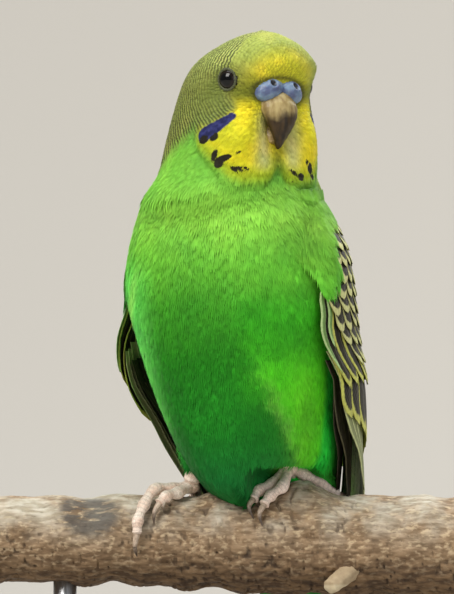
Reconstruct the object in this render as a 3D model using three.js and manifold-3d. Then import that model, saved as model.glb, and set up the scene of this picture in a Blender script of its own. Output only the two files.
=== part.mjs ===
// A budgerigar perched on a cut length of branch that a plain display stand holds up.
// Millimetres, +Z up, origin at the centre of the base's underside, branch along X.
// The bird looks towards -Y. Its body turns to its right and its head to its left.

import * as THREE from 'three';
import { mergeVertices } from 'three/addons/utils/BufferGeometryUtils.js';
import Module from 'manifold-3d';

const wasm = await Module();
wasm.setup();

// Driving dimensions
const DEGREE = Math.PI / 180;
const GAP = 0.3;
const PERCH_TOP = 100;
const BODY_HEADING = -22 * DEGREE;
const BODY_X = 5.2;
const HEAD_HEADING = 34.5 * DEGREE;
const HEAD_ROLL = 4.6 * DEGREE;
const HEAD_PIVOT = new THREE.Vector3(2.2, -8.5, 84);
const SECTION_POWER = 2.2;
const CROWN_Z = 103.3;
const RUMP_Z = -33;
const HEAD_CUT_Z = 76;
const NECK_CUT_Z = 64;
const EYE_RADIUS = 3.1;
const EYE_DEPTH = 2.2;
const EYE_ANGLE = 57 * DEGREE;
const EYE_HEIGHT = 7.6;
const EYE_SIDE = 12;
const LID = { ring: 2.5, tube: 0.62 };
const PERCH_HALF = 58;
const PERCH_RADIUS = 9.8;
const PERCH_SWELL = 2.2;
const PERCH_ROOM = 0.75;
const KNOB = { x: 15.8, height: 3.6, spread: 5.2, turn: 4 * DEGREE, reach: 32 * DEGREE };
const BASE_SIZE = { x: 116, y: 108, z: 8, corner: 9 };
const ROD_RADIUS = 2.6;
const ROD_X = 36;
const TAIL_ROOT = { y: 27, z: -12 };
const TAIL_LEAN = 17 * DEGREE;
const TAIL_LENGTH = 78;

// Level sections of the trunk: height over the perch's top, front, back, half width,
// and how much narrower the front is than the back.
const TRUNK = [
  [RUMP_Z, 31.5, 33.5, 0, 0],
  [-30, 28, 35.2, 5, 0],
  [-22, 21.5, 33.5, 9, 0],
  [-12, 12, 31.2, 12.5, 0],
  [-6, 3, 29.8, 13.6, 0.1],
  [-2.5, -6, 28.8, 13.2, 0.3],
  [0, -12, 28, 13, 0.38],
  [4.4, -17, 26.8, 15.3, 0.26],
  [9, -20, 25.6, 17, 0.16],
  [15, -23, 24, 18.6, 0.1],
  [22, -25.8, 21.8, 20.4, 0.05],
  [33, -29.5, 18, 22.5, 0],
  [45, -32, 13.6, 24.6, 0],
  [55, -31.5, 9.6, 23.4, 0],
  [62, -29.5, 6.8, 21.4, 0],
];

// Level sections of the head: height over the perch's top, back, front, half width.
const HEAD = [
  [70, -14.6, 18.2, 18.4],
  [77, -14.2, 17.6, 16.6],
  [84, -13, 17, 15.4],
  [88, -12, 16.8, 14.8],
  [92, -10.2, 17.3, 14.4],
  [95.3, -7.6, 17.6, 13.6],
  [97.9, -5.2, 16.9, 11.8],
  [100.4, -1.8, 15.2, 8.8],
  [102, 1.2, 12.8, 5.7],
  [CROWN_Z, 7, 8.4, 0],
];

// Small rules of shape
const lerp = THREE.MathUtils.lerp;
const clamp01 = (value) => THREE.MathUtils.clamp(value, 0, 1);
const bell = (value) => Math.exp(-value * value);

function ease(value) {
  const t = clamp01(value);
  return t * t * (3 - 2 * t);
}

function signedPower(value, power) {
  return Math.sign(value) * Math.abs(value) ** power;
}

// Values of a table at one height: a cubic through its rows that never overshoots them.
function tableAt(rows, height) {
  const z = THREE.MathUtils.clamp(height, rows[0][0], rows[rows.length - 1][0]);
  let i = 0;
  while (i < rows.length - 2 && rows[i + 1][0] < z) i += 1;
  const rise = (k, column) => (rows[k + 1][column] - rows[k][column]) / (rows[k + 1][0] - rows[k][0]);
  const slope = (k, column) => {
    if (k === 0) return rise(0, column);
    if (k === rows.length - 1) return rise(k - 1, column);
    const before = rise(k - 1, column);
    const after = rise(k, column);
    if (before * after <= 0) return 0;
    const share = (rows[k + 1][0] - rows[k][0]) / (rows[k + 1][0] - rows[k - 1][0]);
    const mean = before * share + after * (1 - share);
    return Math.sign(mean) * Math.min(Math.abs(mean), 3 * Math.abs(before), 3 * Math.abs(after));
  };
  const span = rows[i + 1][0] - rows[i][0];
  const t = (z - rows[i][0]) / span;
  return rows[i].map((value, column) => {
    if (column === 0) return z;
    const start = value * (1 + 2 * t) * (1 - t) ** 2 + slope(i, column) * span * t * (1 - t) ** 2;
    const end = rows[i + 1][column] * t * t * (3 - 2 * t);
    return start + end + slope(i + 1, column) * span * t * t * (t - 1);
  });
}

// A point told in the trunk's own directions: to its left, towards its back, and up.
function trunkPoint(left, back, height) {
  const x = BODY_X + left * Math.cos(BODY_HEADING) - back * Math.sin(BODY_HEADING);
  const y = left * Math.sin(BODY_HEADING) + back * Math.cos(BODY_HEADING);
  return new THREE.Vector3(x, y, PERCH_TOP + height);
}

// A point told in the head's own directions: to its left, forward, and up from the pivot.
function facePoint(left, forward, up) {
  const ahead = new THREE.Vector3(Math.sin(HEAD_HEADING), -Math.cos(HEAD_HEADING), 0);
  const side = new THREE.Vector3(Math.cos(HEAD_HEADING), Math.sin(HEAD_HEADING), 0);
  side.multiplyScalar(Math.cos(HEAD_ROLL)).z = -Math.sin(HEAD_ROLL);
  const top = new THREE.Vector3().crossVectors(side, ahead).negate();
  const point = HEAD_PIVOT.clone().addScaledVector(side, left);
  point.addScaledVector(ahead, forward).addScaledVector(top, up);
  point.z += PERCH_TOP;
  return point;
}

// Sections as height, centre x, centre y, half width squared, half depth squared, heading, egg.
const trunkSections = TRUNK.map(([z, front, back, half, egg]) => {
  const centre = trunkPoint(0, (front + back) / 2, z);
  const depth = half ? ((back - front) / 2) ** 2 : 0;
  return [z, centre.x, centre.y, half * half, depth, BODY_HEADING, egg];
});
const headSections = HEAD.map(([z, back, front, half]) => {
  const middle = (front + back) / 2;
  const x = HEAD_PIVOT.x + Math.tan(HEAD_ROLL) * (z - HEAD_PIVOT.z) + middle * Math.sin(HEAD_HEADING);
  const y = HEAD_PIVOT.y - middle * Math.cos(HEAD_HEADING);
  const depth = half ? ((front - back) / 2) ** 2 : 0;
  return [z, x, y, half * half, depth, HEAD_HEADING, 0];
});
const SECTIONS = [...trunkSections, ...headSections];

// Height of the mask's lower edge: two lobes that part below the beak and rise to the cheeks.
function maskEdge(turn) {
  return 68.6 + 5 * bell(turn / (8 * DEGREE)) + 13 * ease((Math.abs(turn) / DEGREE - 52) / 22);
}

// How far the face stands out from its plain sections: brows, cheeks, mask and the chin's hollow.
function faceRelief(turn, z) {
  const side = Math.abs(turn) / DEGREE;
  const chin = -3 * bell(turn / (15 * DEGREE)) * bell((z - 80.5) / 5.2);
  const cheek = 0.9 * bell((side - 30) / 15) * bell((z - 80) / 5);
  const brow = 0.5 * bell((side - 50) / 15) * bell((z - 96.5) / 2.2);
  const socket = -0.6 * bell((side - 57) / 11) * bell((z - 91.6) / 3.6);
  const fade = (1 - ease((z - 78) / 8)) * (1 - ease((side - 60) / 20));
  const mask = 0.9 * ease((z - maskEdge(turn)) / 1.6) * fade;
  return chin + cheek + brow + socket + mask;
}

// A point of the bird's outline at a height, in a direction counted from -Y towards +X.
function skinPoint(z, direction, grow = 0) {
  const [, x, y, width2, depth2, heading, egg] = tableAt(SECTIONS, z);
  const turn = Math.atan2(Math.sin(direction - heading), Math.cos(direction - heading));
  const relief = z > NECK_CUT_Z ? faceRelief(turn, z) * ease((CROWN_Z - z) / 3) : 0;
  const width = Math.sqrt(Math.max(width2, 0)) + grow + relief;
  const depth = Math.sqrt(Math.max(depth2, 0)) + grow + relief;
  const ahead = signedPower(Math.cos(turn), 2 / SECTION_POWER);
  const left = width * signedPower(Math.sin(turn), 2 / SECTION_POWER) * (1 - egg * ahead);
  return new THREE.Vector3(
    x + left * Math.cos(heading) + depth * ahead * Math.sin(heading),
    y + left * Math.sin(heading) - depth * ahead * Math.cos(heading),
    PERCH_TOP + z,
  );
}

function skinNormal(z, direction) {
  const step = 0.02;
  const up = skinPoint(z + 0.5, direction).sub(skinPoint(z - 0.5, direction));
  const along = skinPoint(z, direction + step).sub(skinPoint(z, direction - step));
  return along.cross(up).normalize();
}

// Solids: a three.js shape whose points a rule moves, closed and facing out
function formed(geometry, place) {
  geometry.deleteAttribute('normal');
  geometry.deleteAttribute('uv');
  const merged = mergeVertices(geometry, 1e-5);
  const position = merged.getAttribute('position');
  const triangles = Uint32Array.from(merged.index.array);
  const point = new THREE.Vector3();
  for (let i = 0; i < position.count; i += 1) {
    const moved = place(point.fromBufferAttribute(position, i).clone());
    position.setXYZ(i, moved.x, moved.y, moved.z);
  }
  const corner = (k) => new THREE.Vector3().fromBufferAttribute(position, triangles[k]);
  let volume = 0;
  for (let k = 0; k < triangles.length; k += 3) {
    volume += corner(k).dot(corner(k + 1).cross(corner(k + 2)));
  }
  if (volume < 0) triangles.reverse();
  const vertProperties = new Float32Array(position.array);
  return new wasm.Manifold(new wasm.Mesh({ numProp: 3, vertProperties, triVerts: triangles }));
}

function union(solids) {
  return solids.reduce((whole, piece) => whole.add(piece));
}

function cutBy(solid, tools) {
  return tools.reduce((left, tool) => left.subtract(tool), solid);
}

function box(x0, x1, y0, y1, z0, z1) {
  const centre = new THREE.Vector3((x0 + x1) / 2, (y0 + y1) / 2, (z0 + z1) / 2);
  return formed(new THREE.BoxGeometry(x1 - x0, y1 - y0, z1 - z0), (v) => v.add(centre));
}

// A ball or egg about a centre, its poles along one axis.
function egg(centre, axis, length, radius, around = 16, along = 12) {
  const turn = new THREE.Quaternion();
  turn.setFromUnitVectors(new THREE.Vector3(0, 1, 0), axis.clone().normalize());
  return formed(new THREE.SphereGeometry(1, around, along), (v) => {
    v.set(v.x * radius, v.y * length, v.z * radius);
    return v.applyQuaternion(turn).add(centre);
  });
}

// A closed limb along a curve. `wide` and `deep` give its half sizes from start to end.
function limb(points, wide, deep, upward, around = 10, along = 12, round = 0.08) {
  const curve = new THREE.CatmullRomCurve3(points, false, 'centripetal');
  return formed(new THREE.SphereGeometry(1, around, along), (v) => {
    const t = Math.acos(THREE.MathUtils.clamp(v.y, -1, 1)) / Math.PI;
    const blunt = Math.sqrt(clamp01(Math.min(t, 1 - t) / round));
    const tangent = curve.getTangent(t);
    const side = new THREE.Vector3().crossVectors(tangent, upward).normalize();
    const top = new THREE.Vector3().crossVectors(side, tangent).normalize();
    const angle = Math.atan2(v.z, v.x);
    const centre = curve.getPoint(t);
    centre.addScaledVector(side, Math.cos(angle) * wide(t) * blunt);
    return centre.addScaledVector(top, Math.sin(angle) * deep(t) * blunt);
  });
}

// A plate from a root to its tip: `place` takes across (-1 to 1), along (0 to 1), face (-1 or 1).
function plate(acrossSteps, alongSteps, place) {
  const geometry = new THREE.BoxGeometry(2, 2, 1, acrossSteps, 1, alongSteps);
  return formed(geometry, (v) => place(v.x, v.z + 0.5, v.y));
}

// Keeps a solid's largest closed surface and makes it a named mesh.
const model = new THREE.Group();

function addMesh(name, solid, finish) {
  const pieces = solid.decompose().sort((a, b) => b.volume() - a.volume());
  const { vertProperties, triVerts, numProp } = pieces[0].getMesh();
  const count = vertProperties.length / numProp;
  const positions = new Float32Array(count * 3);
  for (let i = 0; i < count; i += 1) {
    for (let k = 0; k < 3; k += 1) positions[3 * i + k] = vertProperties[numProp * i + k];
  }
  const geometry = new THREE.BufferGeometry();
  geometry.setAttribute('position', new THREE.BufferAttribute(positions, 3));
  geometry.setIndex(new THREE.BufferAttribute(new Uint32Array(triVerts), 1));
  const mesh = new THREE.Mesh(geometry, finish);
  mesh.name = name;
  model.add(mesh);
}

function material(color, roughness, metalness = 0) {
  return new THREE.MeshStandardMaterial({ color, roughness, metalness });
}

const FINISH = {
  plumage: material(0x4f9c35, 0.75),
  mask: material(0xd6cf3a, 0.75),
  wing: material(0x9aa048, 0.7),
  tail: material(0x2f6a6e, 0.65),
  eye: material(0x0b0a09, 0.08),
  cere: material(0x56669a, 0.45),
  beak: material(0xb59a62, 0.4),
  foot: material(0xb3a193, 0.6),
  claw: material(0x4a4038, 0.4),
  bark: material(0x9c8468, 0.85),
  stand: material(0x2d2a27, 0.45),
  rod: material(0x8d8f92, 0.3, 1),
};

// Branch: a rough tapering limb with a knob under the left foot and a cut twig below it
function perchRadius(x, angle) {
  const swell = PERCH_SWELL * ease((x + 45) / 100);
  const around = Math.atan2(Math.sin(angle - KNOB.turn), Math.cos(angle - KNOB.turn));
  const knob = KNOB.height * bell((x - KNOB.x) / KNOB.spread) * bell(around / KNOB.reach);
  const shoulder = 0.5 * bell((x + 2.5) / 1.8) * bell(angle / 0.5);
  const bark = 0.22 * Math.sin(0.55 * x + 2 * angle) + 0.18 * Math.sin(3 * angle - 0.31 * x + 1);
  return PERCH_RADIUS + swell + knob + shoulder + bark * ease(Math.abs(Math.sin(angle / 2)) * 3);
}

function perchPoint(x, angle, over = 0) {
  const level = PERCH_TOP - perchRadius(x, Math.PI);
  const radius = perchRadius(x, angle) + over;
  return new THREE.Vector3(x, -Math.sin(angle) * radius, level + Math.cos(angle) * radius);
}

// A stretch of the branch, as it is or with its surface moved out.
function perchStretch(from, to, over, around, along) {
  return formed(new THREE.CylinderGeometry(1, 1, 2, around, along), (v) => {
    const x = lerp(from, to, (v.y + 1) / 2);
    const radial = Math.min(1, Math.hypot(v.x, v.z));
    const centre = perchPoint(x, 0).lerp(perchPoint(x, Math.PI), 0.5);
    return centre.lerp(perchPoint(x, Math.atan2(v.x, v.z), over), radial);
  });
}

function perchSolid(grow = 0) {
  const body = perchStretch(-PERCH_HALF - grow, PERCH_HALF + grow, grow, 16, 24);
  const start = perchPoint(29, 118 * DEGREE, -4);
  const end = new THREE.Vector3(22.5, start.y - 6.5, PERCH_TOP - 20.5);
  const twig = limb([start, start.clone().lerp(end, 0.5), end], (t) => lerp(3, 2, t) + grow,
    (t) => lerp(3, 2, t) + grow, new THREE.Vector3(0, 0, 1), 10, 8, 0.06);
  return body.add(twig);
}

const perch = perchSolid();
const perchGrown = perchSolid(GAP);
const perchRoom = perchStretch(-45, 50, PERCH_ROOM, 12, 14);
addMesh('perch', perch, FINISH.bark);

// Stand: a flat plate and two rods up to the branch
function standBase() {
  const { x, y, z, corner } = BASE_SIZE;
  const outline = new THREE.Shape();
  outline.absarc(x / 2 - corner, y / 2 - corner, corner, 0, Math.PI / 2);
  outline.absarc(corner - x / 2, y / 2 - corner, corner, Math.PI / 2, Math.PI);
  outline.absarc(corner - x / 2, corner - y / 2, corner, Math.PI, 1.5 * Math.PI);
  outline.absarc(x / 2 - corner, corner - y / 2, corner, 1.5 * Math.PI, 2 * Math.PI);
  outline.closePath();
  const plateShape = new THREE.ExtrudeGeometry(outline, { depth: z, bevelEnabled: false, curveSegments: 5 });
  return formed(plateShape, (v) => v);
}

addMesh('stand_base', standBase(), FINISH.stand);
for (const [side, x] of [['left', ROD_X], ['right', -ROD_X]]) {
  const bottom = BASE_SIZE.z + GAP;
  const length = PERCH_TOP - PERCH_RADIUS - bottom;
  const rod = formed(new THREE.CylinderGeometry(ROD_RADIUS, ROD_RADIUS, length, 14),
    (v) => new THREE.Vector3(v.x + x, v.z, v.y + bottom + length / 2));
  addMesh(`stand_rod_${side}`, cutBy(rod, [perchGrown]), FINISH.rod);
}

// Trunk, neck and head: one closed skin, parted afterwards by level cuts
const SKIN_COLUMNS = 32;
const SKIN_ROWS = 32;
const TOOL_COLUMNS = 20;
const TOOL_ROWS = 18;
const TOOL_ROOM = 0.9;

function skinHeight(share) {
  if (share < 0.5) return CROWN_Z - (CROWN_Z - NECK_CUT_Z) * (2 * share) ** 1.6;
  const down = 2 * share - 1;
  return NECK_CUT_Z - (NECK_CUT_Z - RUMP_Z) * down * (1.25 - 0.25 * down);
}

function skinSolid(grow = 0, columns = SKIN_COLUMNS, rows = SKIN_ROWS) {
  return formed(new THREE.SphereGeometry(1, columns, rows), (v) => {
    const share = Math.acos(THREE.MathUtils.clamp(v.y, -1, 1)) / Math.PI;
    const point = skinPoint(skinHeight(share), Math.atan2(v.x, -v.z), grow);
    if (share < 0.01) point.z += grow;
    if (share > 0.99) point.z -= grow;
    return point;
  });
}

// Eyes: each a ball sunk in its socket, inside a raised ring of lid
function eyePlace(side) {
  const level = HEAD_PIVOT.z + EYE_HEIGHT - side * EYE_SIDE * Math.sin(HEAD_ROLL);
  const direction = HEAD_HEADING + side * EYE_ANGLE;
  return { point: skinPoint(level, direction), normal: skinNormal(level, direction) };
}

function eyeBall(side, grow = 0) {
  const { point, normal } = eyePlace(side);
  const centre = point.addScaledVector(normal, -EYE_DEPTH);
  return egg(centre, normal, EYE_RADIUS + grow, EYE_RADIUS + grow, 12, 8);
}

function eyeLid(side) {
  const { point, normal } = eyePlace(side);
  const turn = new THREE.Quaternion().setFromUnitVectors(new THREE.Vector3(0, 0, 1), normal);
  const ring = new THREE.TorusGeometry(LID.ring, LID.tube, 6, 14);
  return formed(ring, (v) => v.applyQuaternion(turn).add(point));
}

// Beak: the hooked upper half, the small lower one behind it, and the cere over both
const UP = new THREE.Vector3(0, 0, 1);

function upperBeak(grow = 0) {
  const path = [[12.5, 5], [15.4, 4.4], [17, 1.4], [17.4, -2.2], [17.2, -5], [16.7, -7.2]];
  const points = path.map(([forward, up]) => facePoint(0, forward, up));
  const wide = (t) => lerp(4.7, 0.5, ease((t - 0.34) / 0.72)) + grow;
  const deep = (t) => lerp(3.4, 0.45, ease((t - 0.15) / 0.95)) + grow;
  return limb(points, wide, deep, facePoint(0, 1, 0).sub(facePoint(0, 0, 0)), 12, 12, 0.06);
}

function lowerBeak(grow = 0) {
  const path = [[10, -2], [13.2, -3.2], [15.4, -5], [15.9, -6.2]];
  const points = path.map(([forward, up]) => facePoint(0, forward, up));
  const wide = (t) => lerp(3.4, 1.6, ease(t)) + grow;
  const deep = (t) => lerp(2, 0.8, t) + grow;
  return limb(points, wide, deep, UP, 10, 7, 0.1);
}

function cere(grow = 0) {
  const lobes = [-1, 1].map((side) => {
    const centre = facePoint(side * 2.5, 15.6, 6.9);
    const axis = facePoint(side * 3.4, 15.6, 5.9).sub(facePoint(side * 1.6, 15.6, 7.6));
    return egg(centre, axis, 3.3 + grow, 2.55 + grow, 10, 8);
  });
  return union(lobes);
}

function nostrils() {
  return [-1, 1].map((side) => {
    const inner = facePoint(side * 2.9, 16.6, 7.4);
    const axis = facePoint(side * 3.2, 19, 7.6).sub(inner);
    return egg(inner.addScaledVector(axis, 0.5), axis, 1.6, 0.62, 7, 5);
  });
}

// Legs: the feathered thigh, then a bare foot with two toes in front and two behind
const LEGS = {
  left: {
    thigh: [[9.6, -6.5, 21], [11.4, -5.2, 14], [12.9, -3, 10]],
    ankle: [13.6, 4, 1.6],
    reach: [3.4, 30],
    toes: [
      [[9.8, 14, 0.4], [7, 26, 0.8], [5.7, 38, 0.1]],
      [[12.2, 24, 0.2], [9.6, 36, 0.5], [8, 47, 0.1]],
      [[17, -10, 0.2], [21, -18, 0.3], [25, -29, 0.1]],
      [[15.4, -22, 0.2], [18.4, -42, 0.5], [20.2, -58, 0.1]],
    ],
    claws: [[4.9, 47, 5.9, 60], [7.2, 58, 7.9, 70], [27.6, -38, 28.6, -51], [21.6, -70, 21.8, -84]],
  },
  right: {
    thigh: [[-3.6, -4, 19], [-5.4, -3, 12], [-7, -1.8, 7.4]],
    ankle: [-8.2, 3, 0.6],
    reach: [-22, -4],
    toes: [
      [[-12.2, 14, 0.3], [-15.9, 25, 0.9], [-18.4, 46, 0.1], [-19.8, 68, 0.5], [-19.9, 83, 0.1]],
      [[-11, 24, 0.2], [-13.6, 38, 0.6], [-15.2, 47, 0.1]],
      [[-10.6, -18, 0.2], [-14, -38, 0.6], [-16, -54, 0.1]],
      [[-7, -20, 0.2], [-7.4, -42, 0.6], [-9, -58, 0.1]],
    ],
    claws: [[-20.4, 96, -19.9, 109], [-16.1, 58, -16.2, 70], [-17.2, -67, -17.6, -82], [-10, -71, -10, -85]],
  },
};
const TOE_RADIUS = 1.3;
const CLAW_RADIUS = 0.78;
const CLAW_SUNK = 0.35;
const TOE_ROOM = 4.9;
const OUTWARD = new THREE.Vector3(0.02, -0.3, 1);

function rowPoint([x, y, z]) {
  return new THREE.Vector3(x, y, PERCH_TOP + z);
}

function thigh(side, grow = 0) {
  const radius = (t) => lerp(7.2, 3.2, ease(t)) + grow;
  return limb(LEGS[side].thigh.map(rowPoint), radius, radius, new THREE.Vector3(0, 1, 0), 12, 9, 0.3);
}

function toePoint([x, angle, lift]) {
  return perchPoint(x, angle * DEGREE, TOE_RADIUS + GAP + lift);
}

function toe(side, index, grow = 0) {
  const { ankle, toes } = LEGS[side];
  const points = [toePoint(ankle), ...toes[index].map(toePoint)];
  const joints = toes[index].length;
  const radius = (t) => TOE_RADIUS * (1.04 - 0.24 * t + 0.1 * Math.cos(2 * Math.PI * joints * t)) + grow;
  return limb(points, radius, radius, OUTWARD, 6, 2 * joints + 3, 0.07);
}

function claw(side, index, grow = 0) {
  const { toes, claws } = LEGS[side];
  const [before, tip] = toes[index].slice(-2);
  const [x1, angle1, x2, angle2] = claws[index];
  const root = toePoint(tip.map((value, k) => lerp(value, before[k], CLAW_SUNK)));
  const middle = perchPoint(x1, angle1 * DEGREE, 1.8);
  const end = perchPoint(x2, angle2 * DEGREE, GAP + 0.35);
  const radius = (t) => CLAW_RADIUS * (1 - 0.86 * t ** 1.3) + grow;
  return limb([root, middle, end], radius, radius, OUTWARD, 6, 7, 0.08);
}

function ankle(side, grow = 0) {
  const low = toePoint(LEGS[side].ankle);
  const high = rowPoint(LEGS[side].thigh[1]);
  const radius = (t) => lerp(1.9, 1.5, t) + grow;
  const path = [low, low.clone().lerp(high, 0.5), high];
  const shank = limb(path, radius, radius, new THREE.Vector3(0, 1, 0.1), 8, 5, 0.15);
  return shank.add(egg(low, new THREE.Vector3(1, 0, 0), 2.1 + grow, 1.65 + grow, 8, 6));
}

// Wings: the folded wing follows the trunk's side as level arcs from its front edge to its back
const WING_TOP = 66;
const WING_TIP = -26;
const CORE_END = 12;
const CORE_DEPTH = 0.7;

// Height over the perch's top, centre's distance back, half width, half depth, front and back angle.
const WING = [
  [WING_TIP, 30, 7.5, 5, 114, 150],
  [-18, 24, 11.5, 9.5, 106, 166],
  [-10, 18, 16, 14.5, 104, 172],
  [-1, 11, 20.8, 20.5, 100, 174],
  [4.4, 7, 22.3, 23, 97, 174],
  [9.3, 4.2, 23.8, 24, 95, 175],
  [15, 1.6, 25, 25, 92, 175],
  [27, -2.8, 26.5, 25.5, 78, 175],
  [37, -6.2, 26.6, 25, 70, 174],
  [45, -8.8, 27, 24, 78, 172],
  [54, -10.8, 26.4, 22, 83, 168],
  [WING_TOP, -11.6, 21, 17.5, 90, 150],
];

// A point of the folded wing: share from front edge to back edge, and height over its surface.
function wingPoint(side, z, share, over) {
  const [, back, half, depth, first, last] = tableAt(WING, z);
  const droop = side < 0 ? 1.9 * bell((z - 31) / 13) - 2.7 * ease((14 - z) / 9) : 0;
  const front = side < 0 ? Math.max(first, 82) : first;
  const angle = lerp(front, last, share) * DEGREE;
  const left = side * (half + droop + over) * signedPower(Math.sin(angle), 2 / SECTION_POWER);
  return trunkPoint(left, back - (depth + over) * signedPower(Math.cos(angle), 2 / SECTION_POWER), z);
}

// Tiers of wing feathers, from the lowest layer to the top one. Each goes from its front feather to
// its back one. Places are [height over the perch's top, share from the front edge].
const WING_TIERS = {
  primaries: { count: 5, steps: 4, half: 2.8, under: -2, over: -0.6,
    root: [[34, 0.1], [36, 0.5]], tip: [[WING_TIP, 0.42], [-5, 0.56]] },
  secondaries: { count: 5, steps: 3, half: 4, under: -1.7, over: -0.1,
    root: [[40, 0.2], [42, 0.74]], tip: [[15, 0.1], [3, 0.66]] },
  tertials: { count: 2, steps: 3, half: 4.4, under: -1.4, over: 0.2,
    root: [[42, 0.76], [44, 0.92]], tip: [[4, 0.77], [3, 0.93]] },
  greaterCoverts: { count: 5, steps: 2, half: 4.5, under: -1.2, over: 0.45,
    root: [[46, 0.1], [48, 0.76]], tip: [[28, 0.06], [35, 0.78]] },
  medianCoverts: { count: 5, steps: 2, half: 4.2, under: -1, over: 0.4,
    root: [[56, 0.12], [56, 0.74]], tip: [[41, 0.07], [45, 0.74]] },
  lesserCoverts: { count: 4, steps: 2, half: 4.9, under: -0.9, over: 0.35,
    root: [[64, 0.16], [64, 0.8]], tip: [[52, 0.07], [53, 0.74]] },
  longScapulars: { count: 2, steps: 2, half: 5, under: -1, over: 0.7,
    root: [[50, 0.82], [50, 0.92]], tip: [[31, 0.82], [32, 0.92]] },
  scapulars: { count: 2, steps: 2, half: 5, under: -0.8, over: 0.8,
    root: [[63, 0.85], [63, 0.93]], tip: [[44, 0.83], [46, 0.92]] },
};
const VANE_THICK = 0.6;
const VANE_TILT = 0.22;

// Half width of a feather along its length, as a share of its widest: full, then rounded off.
function vaneWidth(along, narrowing = 0.6) {
  const end = Math.max(0, (along - narrowing) / (1.03 - narrowing));
  return lerp(0.75, 1, ease(along / 0.4)) * Math.sqrt(1 - end * end);
}

function wingVane(side, root, tip, tier) {
  return plate(1, tier.steps, (across, along, face) => {
    const z = lerp(root[0], tip[0], along);
    const [, , half, depth, first, last] = tableAt(WING, z);
    const girth = (last - first) * DEGREE * (half + depth) / 2;
    const share = lerp(root[1], tip[1], along) + across * tier.half * vaneWidth(along) / girth;
    const thick = VANE_THICK * lerp(1, 0.7, along) * face / 2;
    const over = lerp(tier.under, tier.over, along) + VANE_TILT * across + thick;
    return wingPoint(side, z, share, over);
  });
}

function wingCore(side) {
  return plate(6, 7, (across, along, face) => {
    const z = lerp(WING_TOP, CORE_END, along);
    const thick = lerp(3, 1, ease(along)) * lerp(1, 0.5, across * across);
    return wingPoint(side, z, 0.5 + 0.47 * across, face > 0 ? -CORE_DEPTH : -CORE_DEPTH - thick);
  });
}

function wing(side) {
  const vanes = Object.values(WING_TIERS).flatMap((tier) => Array.from({ length: tier.count }, (_, i) => {
    const share = i / (tier.count - 1);
    const place = (ends) => ends[0].map((value, k) => lerp(value, ends[1][k], share));
    return wingVane(side, place(tier.root), place(tier.tip), tier);
  }));
  return union([wingCore(side), ...vanes]);
}

// Tail: feathers that run down and back from the rump
function tailPoint(left, down, over) {
  const back = TAIL_ROOT.y + down * Math.sin(TAIL_LEAN) + over * Math.cos(TAIL_LEAN);
  return trunkPoint(left, back, TAIL_ROOT.z - down * Math.cos(TAIL_LEAN) + over * Math.sin(TAIL_LEAN));
}

// Half the tail's feathers, from the central one out: length as a share of the tail's, offset.
const TAIL_FEATHERS = [
  [1, 1.1], [0.84, 2.4], [0.71, 3.6], [0.61, 4.7], [0.53, 5.7], [0.46, 6.6],
];
const TAIL_LAYER = 0.42;

function tailVane(side, index) {
  const [share, offset] = TAIL_FEATHERS[index];
  return plate(1, 5, (across, along, face) => {
    const half = 2.7 * vaneWidth(along, 0.35 + 0.2 * share);
    const down = lerp(6, TAIL_LENGTH * share, along);
    const spread = side * offset * lerp(0.75, 0.85 + 0.3 / share, along);
    const layer = 0.9 - TAIL_LAYER * index - 0.1 * across * side + 0.1 * side;
    return tailPoint(spread + across * half, down, layer + face * 0.27 * lerp(1, 0.8, along));
  });
}

function tailCore() {
  return plate(4, 4, (across, along, face) => {
    const half = lerp(6.6, 5.2, along);
    const thick = lerp(1.7, 0.9, along) * (1 - 0.5 * across * across);
    return tailPoint(across * half, lerp(2, 27, along), -0.4 + face * thick);
  });
}

function tail() {
  const vanes = TAIL_FEATHERS.flatMap((_, index) => [tailVane(1, index), tailVane(-1, index)]);
  return union([tailCore(), ...vanes]);
}

// Assembly: what grows from a neighbour is cut by that neighbour grown by the gap
const SIDES = { left: 1, right: -1 };
const skin = skinSolid();
const skinTool = skinSolid(TOOL_ROOM, TOOL_COLUMNS, TOOL_ROWS);
const faceTools = [upperBeak(GAP), lowerBeak(GAP), cere(GAP), eyeBall(1, GAP), eyeBall(-1, GAP)];
const far = 200;
const above = (z) => box(-far, far, -far, far, PERCH_TOP + z, PERCH_TOP + far);
const between = (low, high) => box(-far, far, -far, far, PERCH_TOP + low, PERCH_TOP + high);

const headWhole = union([skin.intersect(above(HEAD_CUT_Z + GAP / 2)), eyeLid(1), eyeLid(-1)]);
addMesh('head', cutBy(headWhole, faceTools), FINISH.mask);
addMesh('cere', cutBy(cere(), [upperBeak(GAP), ...nostrils()]), FINISH.cere);
addMesh('beak_upper', upperBeak(), FINISH.beak);
addMesh('beak_lower', cutBy(lowerBeak(), [upperBeak(GAP)]), FINISH.beak);
addMesh('neck', skin.intersect(between(NECK_CUT_Z + GAP / 2, HEAD_CUT_Z - GAP / 2)), FINISH.mask);

const footTools = { left: [], right: [] };
for (const [name, side] of Object.entries(SIDES)) {
  addMesh(`eye_${name}`, eyeBall(side), FINISH.eye);
  addMesh(`wing_${name}`, cutBy(wing(side), [skinTool, perchRoom]), FINISH.wing);
  addMesh(`thigh_${name}`, cutBy(thigh(name), [perchRoom]), FINISH.plumage);
  const claws = [0, 1, 2, 3].map((index) => claw(name, index));
  claws.forEach((solid, index) => addMesh(`claw_${name}_${index + 1}`, solid, FINISH.claw));
  const toes = [0, 1, 2, 3].map((index) => toe(name, index));
  const foot = union([ankle(name), ...toes]);
  const grownClaws = [0, 1, 2, 3].map((index) => claw(name, index, GAP));
  addMesh(`foot_${name}`, cutBy(foot, [thigh(name, GAP), perchGrown, ...grownClaws]), FINISH.foot);
  footTools[name] = [thigh(name, GAP), ankle(name, GAP), perchStretch(...LEGS[name].reach, TOE_ROOM, 12, 5)];
}
const trunk = skin.intersect(between(RUMP_Z - 5, NECK_CUT_Z - GAP / 2));
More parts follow.
